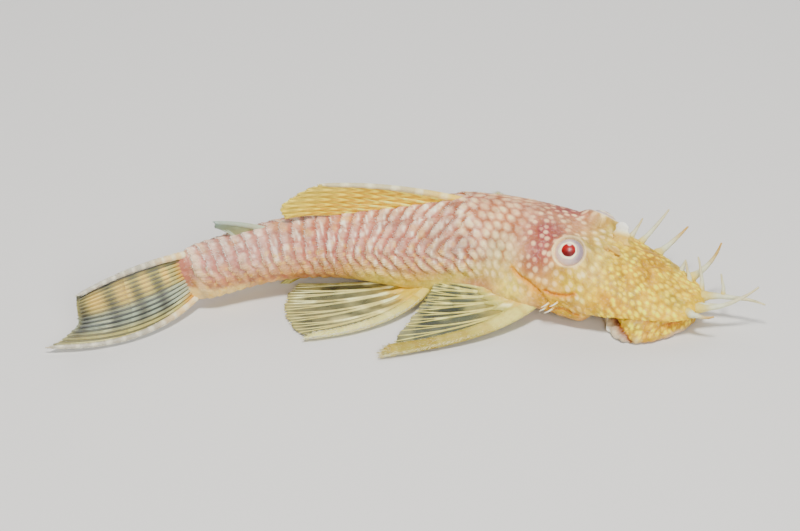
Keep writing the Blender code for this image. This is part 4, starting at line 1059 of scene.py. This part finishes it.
# ------------------------------------------------------------------ eyes
for side, label in ((1, "left"), (-1, "right")):
    centre, axis, up = eye_frame(side)
    across_ = np.cross(up, axis)
    rho = np.concatenate([np.linspace(0.06, 1.5, 30), np.linspace(1.56, BALL, 14)[:-1]])
    turn = 2 * math.pi * np.arange(72) / 72
    rr, tt = np.meshgrid(rho, turn, indexing="ij")
    dome = np.sqrt(np.clip(BALL**2 - rr**2, 0, None)) * FLAT
    x, y = rr * np.cos(tt), rr * np.sin(tt)
    lid_and_highlight = np.hypot(x / 0.34, (y - 0.96) / 0.34)       # the pale lid that hangs into the pupil from above, its pale colour also a painted highlight
    wobble = 0.03 * np.sin(3 * tt + 1) + 0.02 * np.sin(7 * tt)
    pupil = step(rr + 0.5 * wobble, 1.06, 0.98) * step(lid_and_highlight, 0.90, 1.06)
    ring = step(rr + 0.5 * wobble, 0.98, 1.06) * step(rr + 1.5 * wobble + 0.10 * np.cos(tt - 0.2), 1.40, 1.24)
    dome = dome - 0.05 * pupil
    colour = mix(np.tile(srgb(204, 190, 190), rr.shape + (1,)), srgb(218, 198, 192), 0.6 * step(np.cos(tt - 3.6), 0.1, 0.9))
    colour = mix(colour, srgb(170, 160, 174), 0.8 * step(np.cos(tt - 0.3), -0.1, 0.9) * step(rr, 1.35, 1.7))
    colour = mix(colour, srgb(244, 226, 208), ring)
    # the lid, painted pale: partly its own colour, partly a painted highlight
    colour = mix(colour, srgb(238, 206, 204), 0.9 * (1 - step(lid_and_highlight, 0.90, 1.06)) * step(rr, 1.1, 0.95))
    # painted shade: the pupil's red darker towards its lower edge, lighter at the top
    red = mix(np.tile(srgb(178, 44, 54), rr.shape + (1,)), srgb(140, 20, 36), step(y, 0.3, -0.7))
    colour = mix(colour, red, pupil)
    colour = mix(colour, srgb(226, 212, 200), step(rr, 2.02, 2.14))
    at = lambda x_, y_, z_: centre + x_[..., None] * across_ + y_[..., None] * up + z_[..., None] * axis
    cap = at(x, y, dome)
    equator = at(BALL * np.cos(turn), BALL * np.sin(turn), 0 * turn)
    under = [at(BALL * f * np.cos(turn), BALL * f * np.sin(turn), -BALL * FLAT * math.sqrt(1 - f * f) + 0 * turn) for f in (0.95, 0.8, 0.55, 0.25)]
    rows_ = np.concatenate([cap, [equator], under])
    n_r = len(rows_)
    k = np.arange(72)
    tris = np.concatenate([np.stack([(k + 1) % 72, k, np.full(72, n_r * 72)], -1),
                           np.stack([(n_r - 1) * 72 + k, (n_r - 1) * 72 + (k + 1) % 72, np.full(72, n_r * 72 + 1)], -1)])
    colours = np.concatenate([colour, np.tile(srgb(226, 206, 196), (len(under) + 1, 72, 1))])
    eye = Shape()
    middle_ = at(np.array(0.0), np.array(0.0), np.array(BALL * FLAT - 0.05))
    back = at(np.array(0.0), np.array(0.0), np.array(-BALL * FLAT))
    eye.add(np.concatenate([rows_.reshape(-1, 3), [middle_, back]]), grid_faces(n_r, 72, wrap=True), tris,
            tint=np.concatenate([colours.reshape(-1, 3), [red[0, 0], colours[-1, 0]]]))
    obj = eye.build("eyeball_" + label)
    obj.data.materials.append(EYE)
    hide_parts("eye_" + label)


def fin(name, nodes_, field, rays, colour_at, web_at, ray_size, web_material_, spine=None, spines_j=(0.0,), branch=(0.28, 0.62),
        edge=0.02, start=0.0, fork=(0.27, 0.5), web_thick=0.05, web_from=0.0, rag=0.02, floor=True):
    """Rays as branching tubes, the membrane as a thin closed sheet; colours as functions of (j, t)."""
    bony, web = Shape(), Shape()
    gap = rays[1] - rays[0] if len(rays) > 1 else 0.2

    def add_tube(j, t, wide, thick, sides, tag="ray"):
        path = field.at(j, t)
        n = field.normal(j, t)
        if floor:
            path[:, 2] = np.maximum(path[:, 2], np.maximum(thick, 0.06) + 0.015)
        points, q, tr = tube(path, wide, thick, n, sides)
        if floor:
            points[:, 2] = np.maximum(points[:, 2], 0.01)
        c = colour_at(j, t, tag)
        bony.add(points, q, tr, tint=along_tube(c, sides))

    for number_, j in enumerate(rays):
        if number_ == 0 and 0.0 in spines_j or number_ == len(rays) - 1 and 1.0 in spines_j:
            continue
        b0 = branch[0] + 0.06 * math.sin(5.1 * number_)
        tips = 0.985
        t = np.linspace(start, b0 + 0.02, 20)
        r0, r1 = ray_size
        size = lambda q: r0 + (r1 - r0) * q
        add_tube(np.full(20, j), t, size(t), size(t) * 0.85, 8)
        for way in (-1, 1):
            t = np.linspace(b0, branch[1] + 0.02, 14)
            grow = (t - b0) / (1 - b0)
            jj = j + way * gap * fork[0] * grow**0.8
            add_tube(jj, t, size(t) * 0.78, size(t) * 0.62, 8)
            for small in (-1, 1):
                t2 = np.linspace(branch[1], tips, 12)
                grow2 = (t2 - branch[1]) / (1 - branch[1])
                grow1 = (t2 - b0) / (1 - b0)
                jj = j + way * gap * fork[0] * grow1**0.8 + small * gap * 0.14 * grow2
                add_tube(jj, t2, size(t2) * 0.62 * (1 - 0.35 * grow2), size(t2) * 0.5 * (1 - 0.35 * grow2), 6)
    if spine is not None:
        for j in spines_j:
            wide0, wide1, thick0, thick1, reach = spine
            t = np.linspace(max(start - 0.02, 0), reach, 60)
            inward = 1 if j < 0.5 else -1
            shape_ = wide0 + (wide1 - wide0) * t / reach
            close = np.clip(1 - np.clip((t - reach + 0.10) / 0.10, 0, 1) ** 2.4, 0.30, 1)
            path_j = np.full(60, j)
            path, n = field.at(path_j, t), field.normal(path_j, t)
            side_ = unit(np.cross(unit(np.gradient(path, axis=0)), n))
            toward = field.at(path_j + inward * 0.06, t) - path
            side_ *= np.sign((side_ * toward).sum(-1, keepdims=True))
            path = path + side_ * (shape_ * close)[:, None] * 0.8
            th = (thick0 + (thick1 - thick0) * t / reach) * close
            if floor:
                path[:, 2] = np.maximum(path[:, 2], th + 0.015)
            ridges = 1 + 0.04 * np.sin(np.linspace(0, 150, 60))
            points, q, tr = tube(path, shape_ * close * ridges, th, n, 14)
            if floor:
                points[:, 2] = np.maximum(points[:, 2], 0.01)
            bony.add(points, q, tr, tint=along_tube(colour_at(path_j, t, "spine"), 14))
    # membrane
    jn, tn = 121, 41
    j, t = np.meshgrid(np.linspace(0.004, 0.996, jn), np.linspace(web_from, 1, tn), indexing="ij")
    phase = np.interp(j, rays, np.arange(len(rays)))
    hollow = np.sin(math.pi * (phase % 1)) ** 2
    ends = 1 - edge * hollow - rag * (0.5 + 0.5 * waves(j * 60, j * 0, 1.0, 51))
    tt = web_from + (t - web_from) * ends
    mid, n = field.at(j, tt), field.normal(j, tt)
    sag = -0.10 * hollow * step(t, 0.0, 0.4)
    half = 0.5 * web_thick
    front, back = mid + n * (half + sag)[..., None] if np.ndim(half + sag) else mid, mid - n * (half - sag)[..., None]
    if floor:
        front[..., 2] = np.maximum(front[..., 2], 0.10)
        back[..., 2] = np.maximum(back[..., 2], 0.02)
    points = np.concatenate([front.reshape(-1, 3), back.reshape(-1, 3)])
    f = grid_faces(jn, tn)
    b = f[:, ::-1] + jn * tn
    border = ([(i, 0) for i in range(jn)] + [(jn - 1, q) for q in range(1, tn)] + [(i, tn - 1) for i in range(jn - 2, -1, -1)]
              + [(0, q) for q in range(tn - 2, 0, -1)])
    idx = np.array([i * tn + q for i, q in border])
    nxt = np.roll(idx, -1)
    rim = np.stack([idx, nxt, nxt + jn * tn, idx + jn * tn], -1)
    c = web_at(j, tt, hollow).reshape(-1, 3)
    web.add(points, np.concatenate([f, b, rim]), tint=np.concatenate([c, c]))
    obj = bony.build(name + "_rays")
    obj.data.materials.append(RAY)
    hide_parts(*nodes_)
    sheet = web.build(name + "_web")
    sheet.data.materials.append(web_material_)
    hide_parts(*nodes_)
    return obj, sheet


def fin_bristles(name, node_, field, spine, j_at, span, count, size, colour, edge=0.75):
    """Bristles on a fin's spine: along its outer edge, and all over it near the tip."""
    shape = Shape()
    for row, j0 in enumerate(j_at):
        t = np.sort(span[0] + (span[1] - span[0]) * rng.random(count) ** 0.75)
        jj = np.full(count, j0)
        path, n, go = field.at(jj, t), field.normal(jj, t), unit(field.at(jj, t + 0.01) - field.at(jj, t - 0.02))
        n = n * np.where(n[:, 2:] < 0, -1.0, 1.0)
        out = unit(np.cross(go, n))
        out *= -np.sign((out * (field.at(jj + (0.06 if j0 < 0.5 else -0.06), t) - path)).sum(-1, keepdims=True))
        close = np.clip(1 - np.clip((t - 0.90) / 0.10, 0, 1) ** 2.4, 0.30, 1)
        wide = (spine[0] + (spine[1] - spine[0]) * t) * close
        thick = (spine[2] + (spine[3] - spine[2]) * t) * close
        x = np.where(rng.random(count) < edge, 0.80 + 0.20 * rng.random(count), 2 * rng.random(count) - 1)
        root = path - 0.8 * out * wide[:, None] + out * (0.95 * wide * x)[:, None] + n * (0.85 * thick * np.sqrt(1 - x**2 + 1e-6))[:, None]
        root[:, 2] = np.maximum(root[:, 2], 0.06)
        ways = go + 0.75 * out * x[:, None] + 0.30 * n * (1 - x**2)[:, None] + 0.16 * rng.standard_normal((count, 3))
        ways[:, 2] = np.maximum(ways[:, 2], -0.05)
        lengths = (size[0] + (size[1] - size[0]) * t**2) * (0.7 + 0.6 * rng.random(count))
        tints = mix(np.tile(colour, (count, 1)), srgb(246, 242, 232), 0.8 * rng.random(count))
        needles(shape, root, ways, lengths, 0.055, tints, np.stack([0.01 + 0.97 * t, 0.1 + 0.4 * row + 0.12 * (x + 1)], -1))
    obj = shape.build(name, uv=True)
    obj.data.materials.append(BRISTLE)
    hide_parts(node_)


FIN_CREAM = srgb(206, 198, 154)


def paired_colour(j, t, tag):
    if tag == "spine":
        c = mix(np.tile(srgb(214, 206, 160), (len(t), 1)), srgb(180, 168, 110), step(t, 0.25, 0.6))
        c = mix(c, srgb(222, 212, 168), 0.28 * step(blotches(j, t, 1, 26, 79), 0.4, 0.9))
        return mix(c, srgb(178, 152, 88), 0.28 * step(blotches(j, t, 1, 34, 80), 0.45, 0.95))
    c = mix(np.tile(srgb(214, 192, 130), (len(t), 1)), FIN_CREAM, step(t, 0.05, 0.3))
    c = mix(c, srgb(238, 232, 194), 0.6 * step(blotches(j, t, 9, 11, 71), 0.5, 0.85))
    return mix(c, srgb(188, 178, 132), 0.45 * step(blotches(j, t, 9, 11, 72), 0.5, 0.85))


def paired_web(j, t, hollow):
    c = mix(np.tile(srgb(196, 184, 140), j.shape + (1,)), srgb(142, 144, 132), step(t, 0.22, 0.50))
    c = mix(c, srgb(208, 200, 158), 0.60 * step(blotches(j, t, 9, 11, 71), 0.5, 0.85))
    c = mix(c, srgb(98, 104, 102), 0.65 * step(blotches(j, t, 7, 5, 73), 0.45, 0.9) * step(t, 0.36, 0.58))
    return mix(c, srgb(196, 190, 156), 0.6 * step(t, 0.88, 1.0))


def pelvic_colour(j, t, tag):
    if tag == "spine":
        c = mix(np.tile(srgb(212, 196, 126), (len(t), 1)), srgb(212, 206, 166), step(t, 0.12, 0.42))
        return mix(c, srgb(230, 222, 194), 0.35 * step(blotches(j, t, 1, 24, 79), 0.4, 0.9))
    c = mix(np.tile(srgb(214, 192, 130), (len(t), 1)), srgb(208, 200, 164), step(t, 0.1, 0.4))
    c = mix(c, srgb(242, 236, 208), 0.75 * step(blotches(j, t, 8, 10, 75), 0.5, 0.8))
    return mix(c, srgb(192, 180, 136), 0.4 * step(blotches(j, t, 9, 11, 76), 0.5, 0.85))


def pelvic_web(j, t, hollow):
    c = mix(np.tile(srgb(208, 188, 136), j.shape + (1,)), srgb(170, 166, 146), step(t, 0.1, 0.5))
    c = mix(c, srgb(226, 218, 184), 0.70 * step(blotches(j, t, 8, 10, 75), 0.5, 0.8))
    c = mix(c, srgb(120, 122, 114), 0.55 * step(blotches(j, t, 6, 9, 78), 0.5, 0.9) * step(t, 0.25, 0.5))
    return mix(c, srgb(206, 198, 160), 0.6 * step(t, 0.88, 1.0))


for label in ("left", "right"):
    fin("pectoral_" + label, ["pectoral_fin_" + label], PAIRED["pectoral_" + label], np.linspace(0, 1, 7) ** 0.92, paired_colour, paired_web,
        (0.30, 0.19), WEB, spine=(1.15, 1.42, 0.80, 0.46, 1.0), start=0.02)
    fin("pelvic_" + label, ["pelvic_fin_" + label], PAIRED["pelvic_" + label], np.linspace(0, 1, 6), pelvic_colour, pelvic_web,
        (0.38, 0.22), WEB, spine=(0.95, 0.70, 0.62, 0.36, 1.0), start=0.02)

for label in ("left", "right"):
    fin_bristles("pectoral_bristles_" + label, "pectoral_fin_" + label, PAIRED["pectoral_" + label], (1.15, 1.42, 0.80, 0.46), (0.0,),
                 (0.25, 1.0), 1100, (0.14, 0.95), srgb(212, 198, 146), 0.50)
    fin_bristles("pelvic_bristles_" + label, "pelvic_fin_" + label, PAIRED["pelvic_" + label], (0.95, 0.70, 0.62, 0.36), (0.0,),
                 (0.12, 1.0), 900, (0.34, 0.66), srgb(226, 218, 190), 0.75)

# dorsal fin: one spine and seven rays, folded back
DORSAL_BASE = (35.6, 54.3)
DORSAL_TIP = ((59.0, 16.3), (62.4, 14.8), (64.6, 13.0), (64.0, 11.2))
j = np.linspace(0, 1, DENSE_J)
base_s = DORSAL_BASE[0] + (DORSAL_BASE[1] - DORSAL_BASE[0]) * j
tip_s = smooth([(k / 3, p[0]) for k, p in enumerate(DORSAL_TIP)])(j)
tip_z = smooth([(k / 3, p[1]) for k, p in enumerate(DORSAL_TIP)])(j)
dorsal = upright(np.stack([base_s, top(base_s)], -1), np.stack([tip_s, tip_z], -1), 0.8, 0.5, -0.8)


def dashes(j, t):
    """Light dashes along the rays, in columns that lean with the fin."""
    s_ = DORSAL_BASE[0] + (DORSAL_BASE[1] - DORSAL_BASE[0]) * j + t * (22 - 12 * j)
    return step(np.sin(2 * math.pi * s_ / 2.15 + 2.2 * np.sin(j * 44)), -0.1, 0.7)


def dorsal_colour(j, t, tag):
    if tag == "spine":
        c = mix(np.tile(srgb(222, 200, 140), (len(t), 1)), srgb(204, 196, 178), step(t, 0.1, 0.5))
        return mix(c, srgb(232, 228, 216), 0.5 * step(np.sin(t * 40), 0.2, 0.9))
    c = mix(np.tile(srgb(232, 208, 134), (len(t), 1)), srgb(218, 202, 148), t)
    return mix(c, srgb(248, 232, 172), 0.85 * dashes(j, t))


def dorsal_web(j, t, hollow):
    c = mix(np.tile(srgb(226, 200, 114), j.shape + (1,)), srgb(210, 194, 130), step(t, 0.4, 1.0))
    c = mix(c, srgb(192, 180, 142), 0.7 * step(j, 0.22, 0.0))
    c = mix(c, srgb(196, 158, 78), 0.45 * (1 - dashes(j, t)) * step(t, 0.9, 0.5))
    return mix(c, srgb(246, 224, 148), 0.65 * dashes(j, t) * (0.5 + 0.5 * step(hollow, 0.9, 0.3)))


fin("dorsal", ["dorsal_fin"], dorsal, np.linspace(0, 1, 8), dorsal_colour, dorsal_web, (0.34, 0.16), GOLD_WEB,
    spine=(0.55, 0.30, 0.55, 0.32, 1.0), start=0.02, web_thick=0.30, floor=False)

# adipose fin
ADIPOSE_S, ADIPOSE_REACH, ADIPOSE_HEIGHT = (65.6, 70.8), 8.2, 2.2
t = np.linspace(0, 1, DENSE_J)
_b = ADIPOSE_S[0] + (ADIPOSE_S[1] - ADIPOSE_S[0]) * t
adipose = upright(np.stack([_b, top(_b)], -1),
                  np.stack([ADIPOSE_S[0] + ADIPOSE_REACH + 0 * t, top(ADIPOSE_S[0]) + ADIPOSE_HEIGHT - 0.45 * t * ADIPOSE_HEIGHT], -1), 0.8, 0.3)
fin("adipose", ["adipose_fin"], adipose, np.array((0.0, 1.0)), lambda j, t, tag: mix(np.tile(srgb(196, 196, 182), (len(t), 1)), srgb(180, 186, 184), t),
    lambda j, t, hollow: mix(np.tile(srgb(184, 180, 152), j.shape + (1,)), srgb(158, 166, 160), t), (0.3, 0.15), GOLD_WEB,
    spine=(0.46, 0.26, 0.46, 0.28, 1.0), spines_j=(0.0,), web_thick=0.22, floor=False)

# tail fin
CAUDAL_START = 78.8 + 0.35
CAUDAL_TIP = ((0, 96.8, 7.2), (0.33, 97.3, 5.3), (0.6, 97.7, 3.3), (0.82, 100.0, 1.8), (1, 103.2, 0.9))
CAUDAL_SPLAY = 3.4
j, t = np.linspace(0, 1, DENSE_J)[:, None], np.linspace(0, 1, DENSE_T)[None, :]
tip_s, tip_z = smooth([(a_, b_) for a_, b_, c_ in CAUDAL_TIP])(j), smooth([(a_, c_) for a_, b_, c_ in CAUDAL_TIP])(j)
s = CAUDAL_START + (tip_s - CAUDAL_START) * t
z = 9.1 - 7.6 * j + (tip_z - 9.1 + 7.6 * j) * t + 0.7 * (1 - 2 * j) * 4 * t * (1 - t)
u = -CAUDAL_SPLAY * j**1.4 * 4 * t * (1 - t) + 0 * s
caudal = Field(bend(np.stack([s, u, z], -1)))


def caudal_spots(j, t):
    """A row of four large light spots along the upper part."""
    out = np.zeros(np.broadcast(j, t).shape)
    for at, size, middle_, tall in ((0.83, 0.075, 0.31, 0.20), (0.60, 0.070, 0.30, 0.20), (0.40, 0.048, 0.29, 0.17), (0.22, 0.034, 0.30, 0.16)):
        out = np.maximum(out, np.exp(-(np.abs((t - at + 0.05 * (j - 0.3)) / size) ** 3) - np.abs((j - middle_) / tall) ** 3))
    return out


def caudal_dusk(j, t):
    """Dark patches between the spots, strongest below them."""
    out = np.zeros(np.broadcast(j, t).shape)
    for at, size in ((0.715, 0.055), (0.50, 0.05), (0.31, 0.04), (0.95, 0.04)):
        out = np.maximum(out, np.exp(-((t - at + 0.05 * (j - 0.3)) / size) ** 2) * step(j, 0.10, 0.45) * step(j, 0.92, 0.70))
    return out


def caudal_colour(j, t, tag):
    if tag == "spine":
        c = mix(np.tile(srgb(222, 204, 176), (len(t), 1)), srgb(190, 184, 178), step(t, 0.08, 0.4))
        return mix(c, srgb(226, 222, 216), 0.6 * step(np.sin(t * 70), 0.2, 0.9))
    c = mix(np.tile(srgb(208, 172, 114), (len(t), 1)), srgb(194, 186, 150), step(t, 0.03, 0.16))
    c = mix(c, srgb(182, 188, 184), step(j, 0.46, 0.56) * step(j, 0.86, 0.72) * 0.8)
    c = mix(c, srgb(112, 114, 116), 0.85 * step(j, 0.20, 0.10))
    c = mix(c, srgb(112, 108, 104), 0.60 * caudal_dusk(j, t))
    c = mix(c, srgb(232, 210, 158), 0.80 * caudal_spots(j, t))
    return mix(c, srgb(232, 228, 206), 0.45 * step(blotches(j, t, 14, 12, 81), 0.6, 0.9) * step(j, 0.4, 0.7))


def caudal_web(j, t, hollow):
    c = mix(np.tile(srgb(202, 164, 108), j.shape + (1,)), srgb(156, 150, 124), step(t, 0.03, 0.18))
    c = mix(c, srgb(116, 122, 124), step(j, 0.46, 0.56) * step(j, 0.86, 0.72) * 0.85)
    c = mix(c, srgb(84, 86, 94), 0.92 * step(j, 0.20, 0.11))
    c = mix(c, srgb(80, 78, 80), 0.60 * caudal_dusk(j, t))
    c = mix(c, srgb(216, 190, 130), 0.66 * caudal_spots(j, t))
    return mix(c, srgb(172, 168, 150), 0.9 * step(t, 0.945, 0.97))


fin("caudal", ["caudal_fin"], caudal, np.linspace(0, 1, 16), caudal_colour, caudal_web, (0.26, 0.16), WEB,
    spine=(0.52, 0.30, 0.60, 0.32, 1.0), spines_j=(0.0, 1.0), branch=(0.22, 0.55), web_thick=0.06)

fin_bristles("caudal_bristles", "caudal_fin", caudal, (0.52, 0.30, 0.60, 0.32), (0.0, 1.0), (0.02, 0.98), 420, (0.22, 0.26),
             srgb(206, 200, 198), 0.6)

# anal fin
ANAL_S, ANAL_TIP = (57.4, 61.0), (64.0, 65.4)
t = np.linspace(0, 1, DENSE_J)
_b = ANAL_S[0] + (ANAL_S[1] - ANAL_S[0]) * t
anal = upright(np.stack([_b, bottom(_b)], -1), np.stack([ANAL_TIP[0] + (ANAL_TIP[1] - ANAL_TIP[0]) * t, 0.02 + 0.35 * t], -1), -0.6, 0.0)
fin("anal", ["anal_fin"], anal, np.linspace(0, 1, 5), paired_colour, paired_web, (0.26, 0.14), WEB,
    spine=(0.26, 0.18, 0.26, 0.18, 1.0))

# ------------------------------------------------------------------ floor, light and camera
floor = bpy.data.meshes.new("floor")
floor.from_pydata([(-3, -3, 0), (3, -3, 0), (3, 3, 0), (-3, 3, 0)], [], [(0, 1, 2, 3)])
floor_obj = bpy.data.objects.new("floor", floor)
bpy.context.scene.collection.objects.link(floor_obj)
fm, fnodes, flinks, fshader = material("floor")
fshader.inputs["Base Color"].default_value = (0.72, 0.71, 0.69, 1)
fshader.inputs["Roughness"].default_value = 0.75
floor.materials.append(fm)

world = bpy.context.scene.world or bpy.data.worlds.new("world")
bpy.context.scene.world = world
world.use_nodes = True
world.node_tree.nodes["Background"].inputs[0].default_value = (0.93, 0.95, 1.0, 1)
world.node_tree.nodes["Background"].inputs[1].default_value = 0.25


def area(name, place, aim, size, watts, colour=(1, 1, 1)):
    light = bpy.data.lights.new(name, "AREA")
    light.shape, light.size, light.energy, light.color = "DISK", size, watts, colour
    obj = bpy.data.objects.new(name, light)
    z_ = unit(np.array(place, float) - np.array(aim, float))
    x_ = unit(np.cross((0, 0, 1.0), z_))
    y_ = np.cross(z_, x_)
    obj.matrix_world = Matrix(((x_[0], y_[0], z_[0], place[0]), (x_[1], y_[1], z_[1], place[1]), (x_[2], y_[2], z_[2], place[2]), (0, 0, 0, 1)))
    bpy.context.scene.collection.objects.link(obj)


area("key", (-0.02, -0.16, 0.50), (0, 0, 0), 0.12, 3.4, (1.0, 0.985, 0.95))
area("fill", (0.10, -0.46, 0.24), (0, 0, 0), 0.24, 1.75, (1.0, 0.99, 0.97))
area("back", (0.05, 0.40, 0.34), (0, 0, 0), 0.30, 0.95)

K, ELEVATION, LENS = 0.148, math.radians(30), 100.0
distance = K * 800 / 36 * LENS * MM
c_up, c_ahead = np.array([0, math.sin(ELEVATION), math.cos(ELEVATION)]), np.array([0, math.cos(ELEVATION), -math.sin(ELEVATION)])
place = c_up * 24.5 * K * MM + SHIFT - c_ahead * distance
cam = bpy.data.cameras.new("camera")
cam.lens, cam.sensor_width, cam.clip_start = LENS, 36, 0.01
cam_obj = bpy.data.objects.new("camera", cam)
cam_obj.matrix_world = Matrix(((1, c_up[0], -c_ahead[0], place[0]), (0, c_up[1], -c_ahead[1], place[1]),
                               (0, c_up[2], -c_ahead[2], place[2]), (0, 0, 0, 1)))
bpy.context.scene.collection.objects.link(cam_obj)
bpy.context.scene.camera = cam_obj

tris_total = 0
for o in bpy.data.objects:
    if o.type == "MESH" and not o.hide_render:
        o.data.calc_loop_triangles()
        tris_total += len(o.data.loop_triangles)
print("triangles", tris_total)
